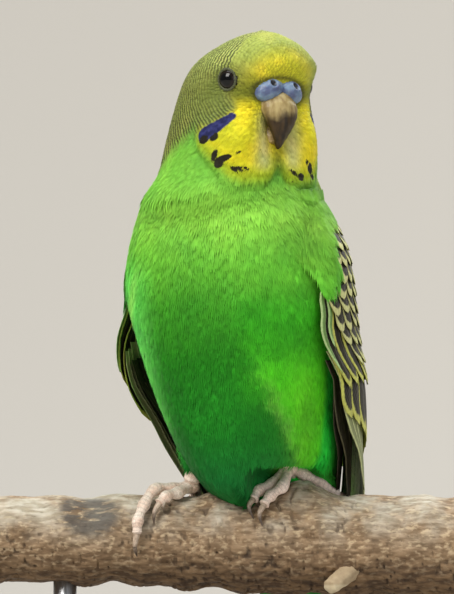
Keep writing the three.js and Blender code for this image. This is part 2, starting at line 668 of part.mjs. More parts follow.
addMesh('torso', cutBy(trunk, [perchRoom, ...footTools.left, ...footTools.right]), FINISH.plumage);
addMesh('tail', cutBy(tail(), [skinSolid(0.45)]), FINISH.tail);

export default model;
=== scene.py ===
import bpy
import numpy as np
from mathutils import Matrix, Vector


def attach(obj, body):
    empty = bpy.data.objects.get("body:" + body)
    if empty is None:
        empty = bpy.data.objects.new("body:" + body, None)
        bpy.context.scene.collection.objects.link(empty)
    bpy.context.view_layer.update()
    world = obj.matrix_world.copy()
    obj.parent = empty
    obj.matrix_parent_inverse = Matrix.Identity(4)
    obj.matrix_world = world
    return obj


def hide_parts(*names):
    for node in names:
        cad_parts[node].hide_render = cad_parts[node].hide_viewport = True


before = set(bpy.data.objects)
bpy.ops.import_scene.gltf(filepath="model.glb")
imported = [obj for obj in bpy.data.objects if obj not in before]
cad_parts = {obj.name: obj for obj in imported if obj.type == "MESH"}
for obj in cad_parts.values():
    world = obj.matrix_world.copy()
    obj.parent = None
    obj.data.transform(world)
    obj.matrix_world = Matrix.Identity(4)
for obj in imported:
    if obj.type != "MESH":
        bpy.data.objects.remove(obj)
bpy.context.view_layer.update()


# Room: a pale floor that sweeps up into a plain backdrop, and soft studio lights.
# The camera stands level with the bird's breast, far back behind a long lens.

MM = 0.001
VIEW_CENTRE_Z = 0.144
VIEW_HEIGHT = 0.132
CAMERA_DISTANCE = 4.0
SENSOR = 36


def add_mesh(name, corners, faces, material, smooth=True):
    """Makes a mesh object from points in millimetres and from faces of three or four corners each."""
    faces = np.asarray(faces, np.int32)
    mesh = bpy.data.meshes.new(name)
    mesh.vertices.add(len(corners))
    mesh.vertices.foreach_set("co", (np.asarray(corners) * MM).astype(np.float32).ravel())
    mesh.loops.add(faces.size)
    mesh.loops.foreach_set("vertex_index", faces.ravel())
    mesh.polygons.add(len(faces))
    mesh.polygons.foreach_set("loop_start", np.arange(0, faces.size, faces.shape[1], dtype=np.int32))
    mesh.polygons.foreach_set("use_smooth", np.full(len(faces), smooth))
    mesh.update(calc_edges=True)
    mesh.validate()
    mesh.materials.append(material)
    thing = bpy.data.objects.new(name, mesh)
    bpy.context.scene.collection.objects.link(thing)
    return thing


def colour(red, green, blue):
    """A colour given in screen values from 0 to 255, as the linear values that shaders take."""
    share = np.array([red, green, blue]) / 255
    linear = np.where(share < 0.04045, share / 12.92, ((share + 0.055) / 1.055) ** 2.4)
    return (*linear.tolist(), 1.0)


class Paint:
    """One socket of a material's nodes. Its operators add the Math nodes that work a number out."""

    def __init__(self, tree, socket=None):
        self.tree = tree
        self.socket = socket

    def node(self, kind, settings=None, sockets=None, output=0):
        """Adds a node of a kind, sets its settings, fills or links its sockets, and gives one output."""
        made = self.tree.nodes.new("ShaderNode" + kind)
        for name, value in (settings or {}).items():
            setattr(made, name, value)
        for name, value in (sockets or {}).items():
            if isinstance(value, Paint):
                self.tree.links.new(value.socket, made.inputs[name])
            else:
                made.inputs[name].default_value = value
        return Paint(self.tree, made.outputs[output])

    def also(self, output):
        """Another output of the node that this one comes from."""
        return Paint(self.tree, self.socket.node.outputs[output])

    def maths(self, operation, *values):
        """One Math node of an operation on numbers."""
        return self.node("Math", {"operation": operation}, dict(enumerate(values)))

    def __add__(self, other):
        return self.maths("ADD", self, other)

    def __sub__(self, other):
        return self.maths("SUBTRACT", self, other)

    def __rsub__(self, other):
        return self.maths("SUBTRACT", other, self)

    def __mul__(self, other):
        return self.maths("MULTIPLY", self, other)

    __radd__ = __add__
    __rmul__ = __mul__

    def between(self, low, high):
        """0 below low and 1 above high, with a smooth rise from one to the other."""
        return self.node("MapRange", {"interpolation_type": "SMOOTHSTEP"},
                         {"Value": self, "From Min": low, "From Max": high})

    def mix(self, under, over):
        """The colour under where this number is 0, and the colour over where it is 1."""
        return self.node("Mix", {"data_type": "RGBA"}, {0: self, 6: under, 7: over}, 2)

    def tones(self, first, second, low=0.3, high=0.7):
        """Two tones in screen values: the first below low and the second above high, blended between."""
        return self.between(low, high).mix(colour(*first), colour(*second))


def new_finish(name, **steady):
    """A material with its Principled shader's steady sockets set; gives it, a start for nodes, the shader."""
    material = bpy.data.materials.new(name)
    material.use_nodes = True
    shader = material.node_tree.nodes["Principled BSDF"]
    for socket, value in steady.items():
        shader.inputs[socket.replace("_", " ")].default_value = value
    return material, Paint(material.node_tree), shader


def feed(shader, **sockets):
    """Links worked out values to a shader's sockets."""
    for name, value in sockets.items():
        value.tree.links.new(value.socket, shader.inputs[name.replace("_", " ")])


def object_place(start, scale=(1, 1, 1)):
    """Object coordinates, stretched by a scale along each axis."""
    place = start.node("TexCoord", output="Object")
    return start.node("Mapping", {}, {"Vector": place, "Scale": scale})


def object_height(start):
    """Height over the ground in metres."""
    return start.node("SeparateXYZ", {}, {"Vector": object_place(start)}, "Z")


def noise(start, scale, detail=2.0, stretch=(1, 1, 1)):
    """Cloudy noise from 0 to 1 on Object coordinates, drawn out along an axis whose stretch is under 1."""
    place = object_place(start, stretch)
    return start.node("TexNoise", {}, {"Vector": place, "Scale": scale, "Detail": detail}, "Fac")


def bump(start, height, strength, distance):
    """A Bump node's normal: strength is a share, and distance is in metres."""
    return start.node("Bump", {}, {"Strength": strength, "Distance": distance, "Height": height})


def grid_faces(rows, columns, closed=False):
    """Quads of a grid of rows by columns of points; a closed grid joins its last column to its first."""
    row = np.arange(rows - 1)[:, None]
    column = np.arange(columns if closed else columns - 1)[None, :]
    after = (column + 1) % columns
    quads = np.stack([row * columns + column, row * columns + after,
                      (row + 1) * columns + after, (row + 1) * columns + column], -1)
    return quads.reshape(-1, 4)


def backdrop_sheet():
    """A sheet whose profile runs level, turns up through a quarter circle, and goes on upright."""
    front, reach, turn, height, half = -2200, 1500, 500, 2500, 2600
    bend = np.linspace(0, np.pi / 2, 24)
    back = np.concatenate([[front], reach - turn + turn * np.sin(bend), [reach]])
    up = np.concatenate([[0], turn - turn * np.cos(bend), [height]])
    across, back = np.meshgrid(np.linspace(-half, half, 3), back)
    points = np.stack([across, back, np.broadcast_to(up[:, None], back.shape)], -1)
    return points.reshape(-1, 3), grid_faces(*back.shape)


# The paper shows from its front only, so that a view from behind it shows the bird
room, start, shader = new_finish("backdrop_paper", Roughness=0.9)
paper = noise(start, 2.0).mix(colour(176, 171, 163), colour(184, 179, 171))
feed(shader, Base_Color=paper, Alpha=1 - start.node("NewGeometry", output="Backfacing"))
backdrop = add_mesh("backdrop", *backdrop_sheet(), room)

lens = bpy.data.cameras.new("camera")
lens.sensor_width = SENSOR
lens.lens = SENSOR * CAMERA_DISTANCE / VIEW_HEIGHT
lens.clip_end = 30
camera = bpy.data.objects.new("camera", lens)
camera.location = (0, -CAMERA_DISTANCE, VIEW_CENTRE_Z)
aim = Vector((0, 0, VIEW_CENTRE_Z)) - camera.location
camera.rotation_euler = aim.to_track_quat("-Z", "Y").to_euler()
bpy.context.scene.collection.objects.link(camera)
bpy.context.scene.camera = camera

LIGHT_AIM = Vector((0, 0, 0.14))
for name, place, size, power, shade in (
    ("key", (-0.75, -0.95, 1.25), 0.8, 27, (1, 0.97, 0.92)),
    ("fill", (1.0, -1.2, 0.45), 1.2, 8, (0.95, 0.98, 1)),
    ("sky", (0.1, 0.1, 1.6), 1.3, 26, (0.96, 0.99, 1)),
    ("back", (0.7, 1.0, 0.9), 0.7, 9, (1, 1, 1)),
):
    light = bpy.data.lights.new(name, "AREA")
    light.size = size
    light.energy = power
    light.color = shade
    lamp = bpy.data.objects.new(name, light)
    lamp.location = place
    lamp.rotation_euler = (LIGHT_AIM - Vector(place)).to_track_quat("-Z", "Y").to_euler()
    bpy.context.scene.collection.objects.link(lamp)

world = bpy.data.worlds.new("soft_air")
world.use_nodes = True
world.node_tree.nodes["Background"].inputs["Color"].default_value = (0.86, 0.9, 0.94, 1)
world.node_tree.nodes["Background"].inputs["Strength"].default_value = 0.24
bpy.context.scene.world = world
bpy.context.scene.view_settings.view_transform = "Standard"


# Branch: a cut length of rough bark, thicker towards +X, with a knob under one foot and the stub of a cut
# twig.
# The bark is pitted below and cracked in its middle; its colour holds painted top light, and painted shade
# below and in its cracks.

PERCH_TOP = 100.0
PERCH_HALF = 58.0
PERCH_RADIUS = 9.8
PERCH_SWELL = 2.2
KNOB_X, KNOB_HEIGHT, KNOB_SPREAD = 15.8, 3.6, 5.2
KNOB_TURN, KNOB_REACH = np.radians(4), np.radians(32)
# Middle of a dark grey scar on the bark, in metres
SCAR = (-0.0305, -0.008, 0.0965)


def ease(value):
    """Rises smoothly from 0 at 0 to 1 at 1."""
    t = np.clip(value, 0, 1)
    return t * t * (3 - 2 * t)


def rise(value, start, full):
    """0 up to start and 1 from full on, eased between. Where full is under start it falls instead."""
    return ease((value - start) / (full - start))


def bell(value):
    """1 at 0, falling away on both sides."""
    return np.exp(-np.square(value))


def hump(value, middle, width):
    """A bell about a middle, down to about a third at a width from it."""
    return bell((value - middle) / width)


def wrap(angle):
    """The same angle between a half turn back and a half turn on."""
    return np.arctan2(np.sin(angle), np.cos(angle))


def grain(u, v, across, around, seed):
    """Random values on a lattice of across by around cells, eased between; v goes round once from 0 to 1."""
    lattice = np.random.default_rng(seed).random((across + 2, around))
    x, y = np.clip(u, 0, 1) * across, (v % 1) * around
    i, j = x.astype(int), y.astype(int) % around
    s, t = ease(x - i), ease(y - np.floor(y))
    near = lattice[i, j] * (1 - t) + lattice[i, (j + 1) % around] * t
    far = lattice[i + 1, j] * (1 - t) + lattice[i + 1, (j + 1) % around] * t
    return near * (1 - s) + far * s - 0.5


def perch_radius(x, angle):
    """The solid branch's radius: a slow swell, the knob, a small shoulder, and low waves of bark."""
    swell = PERCH_SWELL * rise(x, -45, 55)
    knob = KNOB_HEIGHT * hump(x, KNOB_X, KNOB_SPREAD) * bell(wrap(angle - KNOB_TURN) / KNOB_REACH)
    shoulder = 0.5 * hump(x, -2.5, 1.8) * bell(wrap(angle) / 0.5)
    bark = 0.22 * np.sin(0.55 * x + 2 * angle) + 0.18 * np.sin(3 * angle - 0.31 * x + 1)
    return PERCH_RADIUS + swell + knob + shoulder + bark * ease(np.abs(np.sin(angle / 2)) * 3)


def perch_point(x, angle, over=0.0):
    """A point over the branch: x along it, angle from its top towards the front, and height over it."""
    x, angle, over = np.broadcast_arrays(x, angle, over)
    level = PERCH_TOP - perch_radius(x, np.pi)
    radius = perch_radius(x, angle) + over
    return np.stack([x, -np.sin(angle) * radius, level + np.cos(angle) * radius], -1)


def bark_relief(x, angle):
    """Bark over the plain branch: broad lumps, ridges drawn out along it, cracks, and pits below. The last
    number of each grain is its random seed."""
    u, v = (x + PERCH_HALF) / (2 * PERCH_HALF), angle / (2 * np.pi)
    lumps = 0.5 * grain(u, v, 16, 7, 1) + 0.34 * grain(u, v, 40, 16, 2)
    ridges = 0.36 * grain(u, v, 34, 44, 3) + 0.22 * grain(u, v, 90, 90, 4)
    cracked = rise(x, -24, -16) * rise(x, 34, 24)
    drift = u + 0.012 * grain(u, v, 30, 22, 5)
    cracks = -0.4 * hump(grain(drift, v, 110, 52, 6), 0.34, 0.15) * (0.2 + 0.8 * cracked)
    below = ease((1 - np.cos(angle)) * 0.9 - 0.25)
    pits = -0.42 * hump(grain(u, v, 150, 70, 7), 0.42, 0.12) * (0.15 + 0.85 * below)
    return 0.8 * (lumps + ridges) + cracks + pits


def perch_shape():
    """The bark's grid along and round the branch, closed at each end by rings that shrink to its middle."""
    steps, around, end_rings = 560, 150, (0.97, 0.86, 0.7, 0.5, 0.3, 0.12)
    x = np.linspace(-PERCH_HALF, PERCH_HALF, steps)[:, None]
    angle = np.linspace(0, 2 * np.pi, around, endpoint=False)[None]
    relief = bark_relief(*np.broadcast_arrays(x, angle))
    side = perch_point(x, angle, relief - 0.15)
    first, last = (np.stack([edge.mean(0) + (edge - edge.mean(0)) * share for share in end_rings])
                   for edge in (side[0], side[-1]))
    points = np.concatenate([first[::-1], side, last])
    flat = np.zeros((len(end_rings), around))
    depth = np.concatenate([flat, relief, flat])
    return points.reshape(-1, 3), grid_faces(len(points), around, closed=True), depth.ravel()


def add_values(thing, **values):
    """Stores one number for each point of a mesh under a name that its material reads."""
    for name, numbers in values.items():
        store = thing.data.attributes.new(name, "FLOAT", "POINT")
        store.data.foreach_set("value", np.asarray(numbers, np.float32).ravel())


def add_colours(thing, name, tones):
    """Stores three numbers, such as a linear colour, or four for each point of a mesh."""
    tones = np.asarray(tones, np.float32)
    if tones.shape[-1] == 3:
        tones = np.concatenate([tones, np.ones_like(tones[..., :1])], -1)
    store = thing.data.attributes.new(name, "FLOAT_COLOR", "POINT")
    store.data.foreach_set("color", tones.ravel())


def attribute(start, name, output="Fac"):
    """Numbers stored on a mesh's points under a name."""
    return start.node("Attribute", {"attribute_name": name}, output=output)


bark, start, shader = new_finish("bark", Roughness=0.86)
relief = attribute(start, "Relief")
drawn_out = (0.28, 1, 1)
streaks = noise(start, 900.0, 6.0, drawn_out)
blotches = noise(start, 95.0, 4.0)
flecks = noise(start, 1000.0, 6.0, (0.6, 1, 1))
specks = start.node("TexVoronoi", {}, {"Vector": object_place(start, drawn_out), "Scale": 1500.0}, "Distance")
height = object_height(start)
warm = streaks.tones((108, 84, 58), (152, 126, 96), 0.35, 0.7)
warm = (flecks.between(0.5, 0.68) * 0.7).mix(warm, colour(196, 172, 138))
# Painted shade: the bark turns much darker towards its underside, away from the top light
below = streaks.tones((52, 34, 20), (104, 78, 50), 0.35, 0.65)
warm = (height.between(0.09, 0.08) * 0.78).mix(warm, below)
# Painted top light: paler grey in blotches over the top of the branch
lit_top = streaks.tones((150, 140, 120), (188, 181, 166))
tone = (height.between(0.086, 0.099) * blotches.between(0.36, 0.62)).mix(warm, lit_top)
# Painted shade: darker in the deep cracks and pits
tone = (relief.between(-0.62, -0.1) * -0.8 + 0.8).mix(tone, colour(58, 44, 32))
tone = (specks.between(0.05, 0.3) * -0.45 + 0.45).mix(tone, colour(74, 60, 46))
from_scar = start.node("VectorMath", {"operation": "DISTANCE"}, {0: object_place(start), 1: SCAR}, "Value")
scar = (from_scar + blotches * 0.006 - 0.0095).between(0.0015, -0.0015) * streaks.between(0.34, 0.5)
tone = (scar * 0.8).mix(tone, colour(62, 60, 58))
feed(shader, Base_Color=tone, Normal=bump(start, streaks + specks * 0.5, 0.55, 0.0004))
corners, faces, depth = perch_shape()
branch = add_mesh("branch", corners, faces, bark)
add_values(branch, Relief=depth)
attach(branch, "root")
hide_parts("perch")


# Twig stub: what is left of a side twig below the branch. Its bark is light brown and its cut end paler
# wood. It is a short limb, a tube along a bent path, that starts inside the branch.

def path_point(points, share):
    """A centripetal Catmull-Rom curve through the points at shares from 0 to 1 of its stretches."""
    points = np.asarray(points, float)
    framed = np.vstack([2 * points[0] - points[1], points, 2 * points[-1] - points[-2]])
    place = np.clip(share, 0, 1) * (len(points) - 1)
    i = np.minimum(place.astype(int), len(points) - 2)
    w = (place - i)[..., None]
    a, b, c, d = (framed[i + k] for k in range(4))
    before, middle, after = (np.sqrt(np.linalg.norm(q - p, axis=-1, keepdims=True))
                             for p, q in ((a, b), (b, c), (c, d)))
    out = ((b - a) / before - (c - a) / (before + middle) + (c - b) / middle) * middle
    home = ((c - b) / middle - (d - b) / (middle + after) + (d - c) / after) * middle
    return b + out * w + (3 * (c - b) - 2 * out - home) * w**2 + (2 * (b - c) + out + home) * w**3


def unit(vectors):
    """Vectors brought to a length of 1."""
    return vectors / np.maximum(np.linalg.norm(vectors, axis=-1, keepdims=True), 1e-12)


def limb_frame(points, share, upward):
    """Centre, side and top directions of a limb's cross section at shares of its path."""
    step = 1e-4
    ahead = path_point(points, np.minimum(share + step, 1)) - path_point(points, np.maximum(share - step, 0))
    side = unit(np.cross(ahead, upward))
    return path_point(points, share), side, unit(np.cross(side, ahead))


def limb_shares(rows):
    """Where a limb's rings lie along it: closer together towards its two ends."""
    return (1 - np.cos(np.linspace(0, np.pi, rows))) / 2


def limb_shape(points, wide, deep, upward, around, along, blunt, relief=None):
    """A closed limb along a path: an oval section whose half sizes follow the share, rounded at both ends.
    relief(share, angle) moves the surface out."""
    share = limb_shares(along)
    centre, side, top = limb_frame(points, share, upward)
    round_off = np.sqrt(np.clip(np.minimum(share, 1 - share) / blunt, 0, 1))[:, None, None]
    angle = np.linspace(0, 2 * np.pi, around, endpoint=False)[None, :, None]
    out = 0 if relief is None else relief(share[:, None, None], angle)
    width, depth = ((size(share)[:, None, None] + out) * round_off for size in (wide, deep))
    surface = centre[:, None] + side[:, None] * np.cos(angle) * width + top[:, None] * np.sin(angle) * depth
    return surface.reshape(-1, 3), grid_faces(along, around, closed=True)[:, ::-1]


TWIG_WIDE, TWIG_DEEP, TWIG_TAPER = 2.6, 2.5, 0.9


def twig_bark(share, angle):
    """Low lumps along the twig and round it."""
    return 0.12 * np.sin(5 * angle + 9 * share) * np.sin(14 * share)


wood, start, shader = new_finish("cut_twig", Roughness=0.8)
rings = noise(start, 700.0, 5.0)
rind = rings.mix(colour(136, 114, 86), colour(186, 166, 134))
heart = rings.mix(colour(196, 176, 140), colour(216, 202, 172))
feed(shader, Base_Color=object_height(start).between(0.0806, 0.0798).mix(rind, heart),
     Normal=bump(start, rings, 0.6, 0.0003))
stub_root = perch_point(29.0, np.radians(118), -4.0)
stub_end = np.array([22.5, stub_root[1] - 6.5, PERCH_TOP - 20.5])
stub = add_mesh("twig_stub", *limb_shape(
    [stub_root, (stub_root + stub_end) / 2, stub_end], lambda t: TWIG_WIDE - TWIG_TAPER * t,
    lambda t: TWIG_DEEP - TWIG_TAPER * t, (0, 0, 1), 28, 30, 0.03, twig_bark), wood)
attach(stub, "root")


# Display stand: a dark stained board with a softened edge, and two brushed steel rods with collars.
# The rods stand on the board and reach up to the branch. All are rings of points joined by faces.

BASE_X, BASE_Y, BASE_Z, BASE_CORNER = 116.0, 108.0, 8.0, 9.0
ROD_X, ROD_RADIUS, ROD_SIDES = 36.0, 2.6, 48


def rounded_board():
    """A rounded rectangle carried up the board's side, over a quarter round edge and in to its middle."""
    turn = np.linspace(0, 2 * np.pi, 96, endpoint=False) + np.pi / 192
    soften = 1.2
    edge = np.linspace(0, np.pi / 2, 7)
    inset = np.concatenate([[40, 12, 3, 0.8, 0.2, 0], soften * (1 - np.cos(edge)), [3, 12, 40]])
    level = np.concatenate([[0, 0, 0, 0, 0.2, 0.8], BASE_Z - soften + soften * np.sin(edge), [BASE_Z] * 3])
    reach = np.array([BASE_X, BASE_Y]) / 2 - BASE_CORNER
    outward = np.stack([np.cos(turn), np.sin(turn)], -1)
    centre = np.sign(outward) * reach
    share = np.clip(inset, 0, BASE_CORNER - 0.5)[:, None, None]
    ring = centre[None] + outward[None] * (BASE_CORNER - share)
    shrink = 1 - np.maximum(inset - (BASE_CORNER - 0.5), 0)[:, None, None] / 34
    flat = ring * shrink
    points = np.concatenate([flat, np.broadcast_to(level[:, None, None], (*flat.shape[:2], 1))], -1)
    middle = np.array([[0, 0, 0], [0, 0, BASE_Z]])
    count = len(turn)
    last = (len(level) - 1) * count
    index = np.arange(count)
    after = (index + 1) % count
    caps = [np.stack([np.full(count, len(level) * count), after, index], -1),
            np.stack([np.full(count, len(level) * count + 1), last + index, last + after], -1)]
    quads = grid_faces(len(level), count, closed=True)
    split = np.concatenate([quads[:, [0, 1, 2]], quads[:, [0, 2, 3]], *caps])
    return np.concatenate([points.reshape(-1, 3), middle]), split


stain, start, shader = new_finish("stained_board")
board_grain = noise(start, 420.0, 5.0, (0.12, 1, 1))
feed(shader, Base_Color=board_grain.tones((38, 30, 24), (66, 52, 40)),
     Roughness=board_grain * 0.2 + 0.34, Normal=bump(start, board_grain, 0.25, 0.0002))
board = add_mesh("display_base", *rounded_board(), stain)
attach(board, "root")
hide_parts("stand_base")

steel, start, shader = new_finish("brushed_steel", Metallic=1.0)
lines = noise(start, 2600.0, 2.0, (1, 1, 0.03))
feed(shader, Base_Color=lines.mix(colour(150, 152, 155), colour(196, 198, 200)), Roughness=lines * 0.25 + 0.2,
     Normal=bump(start, lines, 0.15, 0.0001))
for name, x in (("left", ROD_X), ("right", -ROD_X)):
    low = BASE_Z + 0.3
    under = float(perch_point(x, np.pi, 0.0)[2])
    level = np.array([low, low, low + 2.2, low + 2.6, low + 2.6, under + 0.5, under + 0.8, under + 0.8])
    radius = np.array([0.02, ROD_RADIUS + 1.7, ROD_RADIUS + 1.7, ROD_RADIUS + 1.3,
                       ROD_RADIUS, ROD_RADIUS, 2.3, 0.02])
    turn = np.linspace(0, 2 * np.pi, ROD_SIDES, endpoint=False)
    rings = np.stack([x + radius[:, None] * np.cos(turn), radius[:, None] * np.sin(turn),
                      np.broadcast_to(level[:, None], (len(level), ROD_SIDES))], -1)
    faces = grid_faces(len(level), ROD_SIDES, closed=True)
    rod = add_mesh(f"display_rod_{name}", rings.reshape(-1, 3), faces, steel)
    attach(rod, "root")
    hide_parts(f"stand_rod_{name}")


# Body: one skin from rump to crown, and the thighs' rounded flesh. It carries the plumage's markings
# and lies under the feathers by their depth. Level sections give it, turned as the bird turns.

BODY_HEADING = np.radians(-22)
BODY_X = 5.2
HEAD_HEADING = np.radians(34.5)
HEAD_ROLL = np.radians(4.6)
HEAD_PIVOT = np.array([2.2, -8.5, 84.0])
SECTION_POWER = 2.2
CROWN_Z, RUMP_Z, NECK_Z = 103.3, -33.0, 64.0

# Height over the perch's top, front, back, half width, and how much narrower the front is
TRUNK = np.array([
    [RUMP_Z, 31.5, 33.5, 0, 0], [-30, 28, 35.2, 5, 0], [-22, 21.5, 33.5, 9, 0], [-12, 12, 31.2, 12.5, 0],
    [-6, 3, 29.8, 13.6, 0.1], [-2.5, -6, 28.8, 13.2, 0.3], [0, -12, 28, 13, 0.38],
    [4.4, -17, 26.8, 15.3, 0.26], [9, -20, 25.6, 17, 0.16], [15, -23, 24, 18.6, 0.1],
    [22, -25.8, 21.8, 20.4, 0.05], [33, -29.5, 18, 22.5, 0], [45, -32, 13.6, 24.6, 0],
    [55, -31.5, 9.6, 23.4, 0], [62, -29.5, 6.8, 21.4, 0]])
# Height over the perch's top, back, front, half width
HEAD = np.array([
    [70, -14.6, 18.2, 18.4], [77, -14.2, 17.6, 16.6], [84, -13, 17, 15.4], [88, -12, 16.8, 14.8],
    [92, -10.2, 17.3, 14.4], [95.3, -7.6, 17.6, 13.6], [97.9, -5.2, 16.9, 11.8], [100.4, -1.8, 15.2, 8.8],
    [102, 1.2, 12.8, 5.7], [CROWN_Z, 7, 8.4, 0]])


def signed_power(value, power):
    """A power that keeps the value's sign."""
    return np.sign(value) * np.abs(value) ** power


def table_at(rows, height):
    """A table's columns at heights: cubic stretches, with slopes held so that none overshoots its rows."""
    z = np.clip(height, rows[0, 0], rows[-1, 0])
    steps = np.diff(rows, axis=0)
    slopes = steps / steps[:, :1]
    share = steps[1:, :1] / (steps[1:, :1] + steps[:-1, :1])
    mean = slopes[:-1] * share + slopes[1:] * (1 - share)
    limit = 3 * np.minimum(np.abs(slopes[:-1]), np.abs(slopes[1:]))
    middle = np.where(slopes[:-1] * slopes[1:] > 0, np.sign(mean) * np.minimum(np.abs(mean), limit), 0)
    slope = np.vstack([slopes[:1], middle, slopes[-1:]])
    i = np.clip(np.searchsorted(rows[:, 0], z, side="right") - 1, 0, len(rows) - 2)
    span = steps[i, 0][..., None]
    t = (z[..., None] - rows[i, 0][..., None]) / span
    start = rows[i] * (1 + 2 * t) * (1 - t) ** 2 + slope[i] * span * t * (1 - t) ** 2
    return start + rows[i + 1] * t * t * (3 - 2 * t) + slope[i + 1] * span * t * t * (t - 1)


def section_rows():
    """Both tables as height, centre x and y, half width and depth squared, heading, and egg shape."""
    z, front, back, half, egg = TRUNK.T
    middle, depth = (front + back) / 2, np.where(half > 0, (back - front) / 2, 0)
    trunk = [z, BODY_X - middle * np.sin(BODY_HEADING), middle * np.cos(BODY_HEADING),
             half**2, depth**2, np.full_like(z, BODY_HEADING), egg]
    z, back, front, half = HEAD.T
    middle, depth = (front + back) / 2, np.where(half > 0, (front - back) / 2, 0)
    x = HEAD_PIVOT[0] + np.tan(HEAD_ROLL) * (z - HEAD_PIVOT[2]) + middle * np.sin(HEAD_HEADING)
    head = [z, x, HEAD_PIVOT[1] - middle * np.cos(HEAD_HEADING),
            half**2, depth**2, np.full_like(z, HEAD_HEADING), 0 * z]
    return np.hstack([trunk, head]).T


SECTIONS = section_rows()


def ramp(value, *stops):
    """Straight stretches between (place, value) stops."""
    places, values = zip(*stops)
    return np.interp(value, places, values)


def mask_edge(side):
    """Height of the yellow mask's lower edge: two lobes that part below the beak and rise to the cheeks."""
    climb = ramp(side, (30, 0), (39, 1), (48, 3.2), (57, 5.4), (69, 8.3), (80, 14))
    return 68.3 + 3.4 * bell(side / 6) + climb


def face_relief(turn, z):
    """How far the face stands out from its level sections: chin's hollow, cheeks, brows, sockets and mask."""
    side, tilted = np.degrees(np.abs(turn)), z + 1.3 * np.sin(turn)
    chin = -3 * bell(side / 15) * hump(z, 80.5, 5.2)
    cheek = 0.9 * hump(side, 30, 15) * hump(z, 80, 5)
    brow = 0.6 * hump(side, 50, 15) * hump(tilted, 95, 3.2)
    socket = -0.75 * hump(side, 57, 11) * hump(tilted, 91.2, 3.2)
    fade = (1 - rise(z, 78, 86)) * (1 - rise(side, 60, 80))
    return chin + cheek + brow + socket + 0.9 * ease((z - mask_edge(side)) / 2.4) * fade


# Over the left foot: x along the branch, and how far forward the belly may reach there
FOOT_EDGE = ((4, -9), (5.7, -6.6), (7, -4.2), (9.8, -1.4), (13.6, 1), (17, 3.2), (21, 4.8), (25, 6))


def foot_room(x, y, z):
    """How far the belly draws back over the left foot, so that its toes come out from under the feathers."""
    behind = ramp(x, *FOOT_EDGE)
    return np.maximum(0, behind - y) * rise(z, 8.4, 5.2) * rise(x, 2.5, 6.5) * rise(x, 27, 23)


def skin_point(z, direction, grow=0.0):
    """The outline at a height, in a direction counted from -Y towards +X: a squared-off oval about the
    section's centre, narrowed towards its front by the egg share, plus the face's relief."""
    z, direction, grow = np.broadcast_arrays(np.asarray(z, float), direction, grow)
    _, x, y, width2, depth2, heading, egg = np.moveaxis(table_at(SECTIONS, z), -1, 0)
    turn = wrap(direction - heading)
    relief = np.where(z > NECK_Z, face_relief(turn, z) * ease((CROWN_Z - z) / 3), 0) + grow
    relief = relief + 0.75 * hump(z, 67, 3.6) * ease(1.1 + np.cos(turn))
    relief = relief + 0.7 * hump(z, 63.5, 3) * ease(0.1 - np.cos(turn))
    width = np.sqrt(np.maximum(width2, 0)) + relief
    depth = np.sqrt(np.maximum(depth2, 0)) + relief
    ahead = signed_power(np.cos(turn), 2 / SECTION_POWER)
    left = width * signed_power(np.sin(turn), 2 / SECTION_POWER) * (1 - egg * ahead)
    x = x + left * np.cos(heading) + depth * ahead * np.sin(heading)
    y = y + left * np.sin(heading) - depth * ahead * np.cos(heading)
    return np.stack([x, y + foot_room(x, y, z), PERCH_TOP + z], -1)


def skin_normal(z, direction):
    """Outward direction of the outline: across its slopes up and around."""
    upward = skin_point(z + 0.4, direction) - skin_point(z - 0.4, direction)
    onward = skin_point(z, direction + 0.02) - skin_point(z, direction - 0.02)
    return unit(np.cross(onward, upward))


AHEAD = np.array([np.sin(HEAD_HEADING), -np.cos(HEAD_HEADING), 0])
SIDE = np.array([np.cos(HEAD_HEADING) * np.cos(HEAD_ROLL), np.sin(HEAD_HEADING) * np.cos(HEAD_ROLL),
                 -np.sin(HEAD_ROLL)])
TOP = -np.cross(SIDE, AHEAD)


def face_point(left, forward, up):
    """A point told in the head's own directions from its pivot."""
    return HEAD_PIVOT + (0, 0, PERCH_TOP) + left * SIDE + forward * AHEAD + up * TOP


def trunk_point(left, back, height):
    """A point told in the trunk's own directions: to its left, towards its back, and up."""
    return np.stack([BODY_X + left * np.cos(BODY_HEADING) - back * np.sin(BODY_HEADING),
                     left * np.sin(BODY_HEADING) + back * np.cos(BODY_HEADING), PERCH_TOP + height], -1)


def blend(under, over, share):
    """One linear colour laid over another by a share."""
    return under + (np.asarray(over) - under) * np.clip(share, 0, 1)[..., None]


def tint(red, green, blue):
    """A screen colour as three linear numbers."""
    return np.array(colour(red, green, blue)[:3])


# Throat spots: turn from the face's middle, height, half width and half height, and slant
SPOTS = np.array([
    [-52, 75.3, 0.75, 1.3, 0.5], [-45.5, 74.5, 2.1, 0.75, 0.3], [-48.5, 73.4, 1.0, 0.9, 0],
    [-36.5, 72.2, 1.25, 0.7, -0.6], [-29.5, 72.4, 1.25, 0.5, -0.2], [-34.5, 76, 0.5, 0.35, 0],
    [13.5, 71.6, 1.15, 0.62, -0.5], [21.5, 70.5, 1.1, 0.9, 0], [32.5, 72.4, 0.95, 1.25, -0.2],
    [28.5, 74, 0.6, 0.55, 0], [36, 70.6, 0.6, 0.7, 0], [12.2, 69.2, 0.5, 0.4, 0],
    [-62.5, 78.7, 1.15, 0.95, 0], [-54, 79.3, 1.1, 0.85, 0.3]])
# Millimetres round the face for a degree of turn
ARC = 0.29
# Cheek patch: millimetres from the face's middle and height, at its lower and its upper end
PATCH_LOW, PATCH_HIGH = np.array([62.5 * ARC, 79.8]), np.array([42.5 * ARC, 83.9])
# Turn from the face's middle, and the height at which the head's bars end there
BAR_EDGE = ((0, 87), (38, 86), (44, 84.6), (67, 80.8), (80, 80.2), (103, 75.8), (130, 68), (180, 60))
# Degrees from one bar to the next
BAR_GAP = 3.15
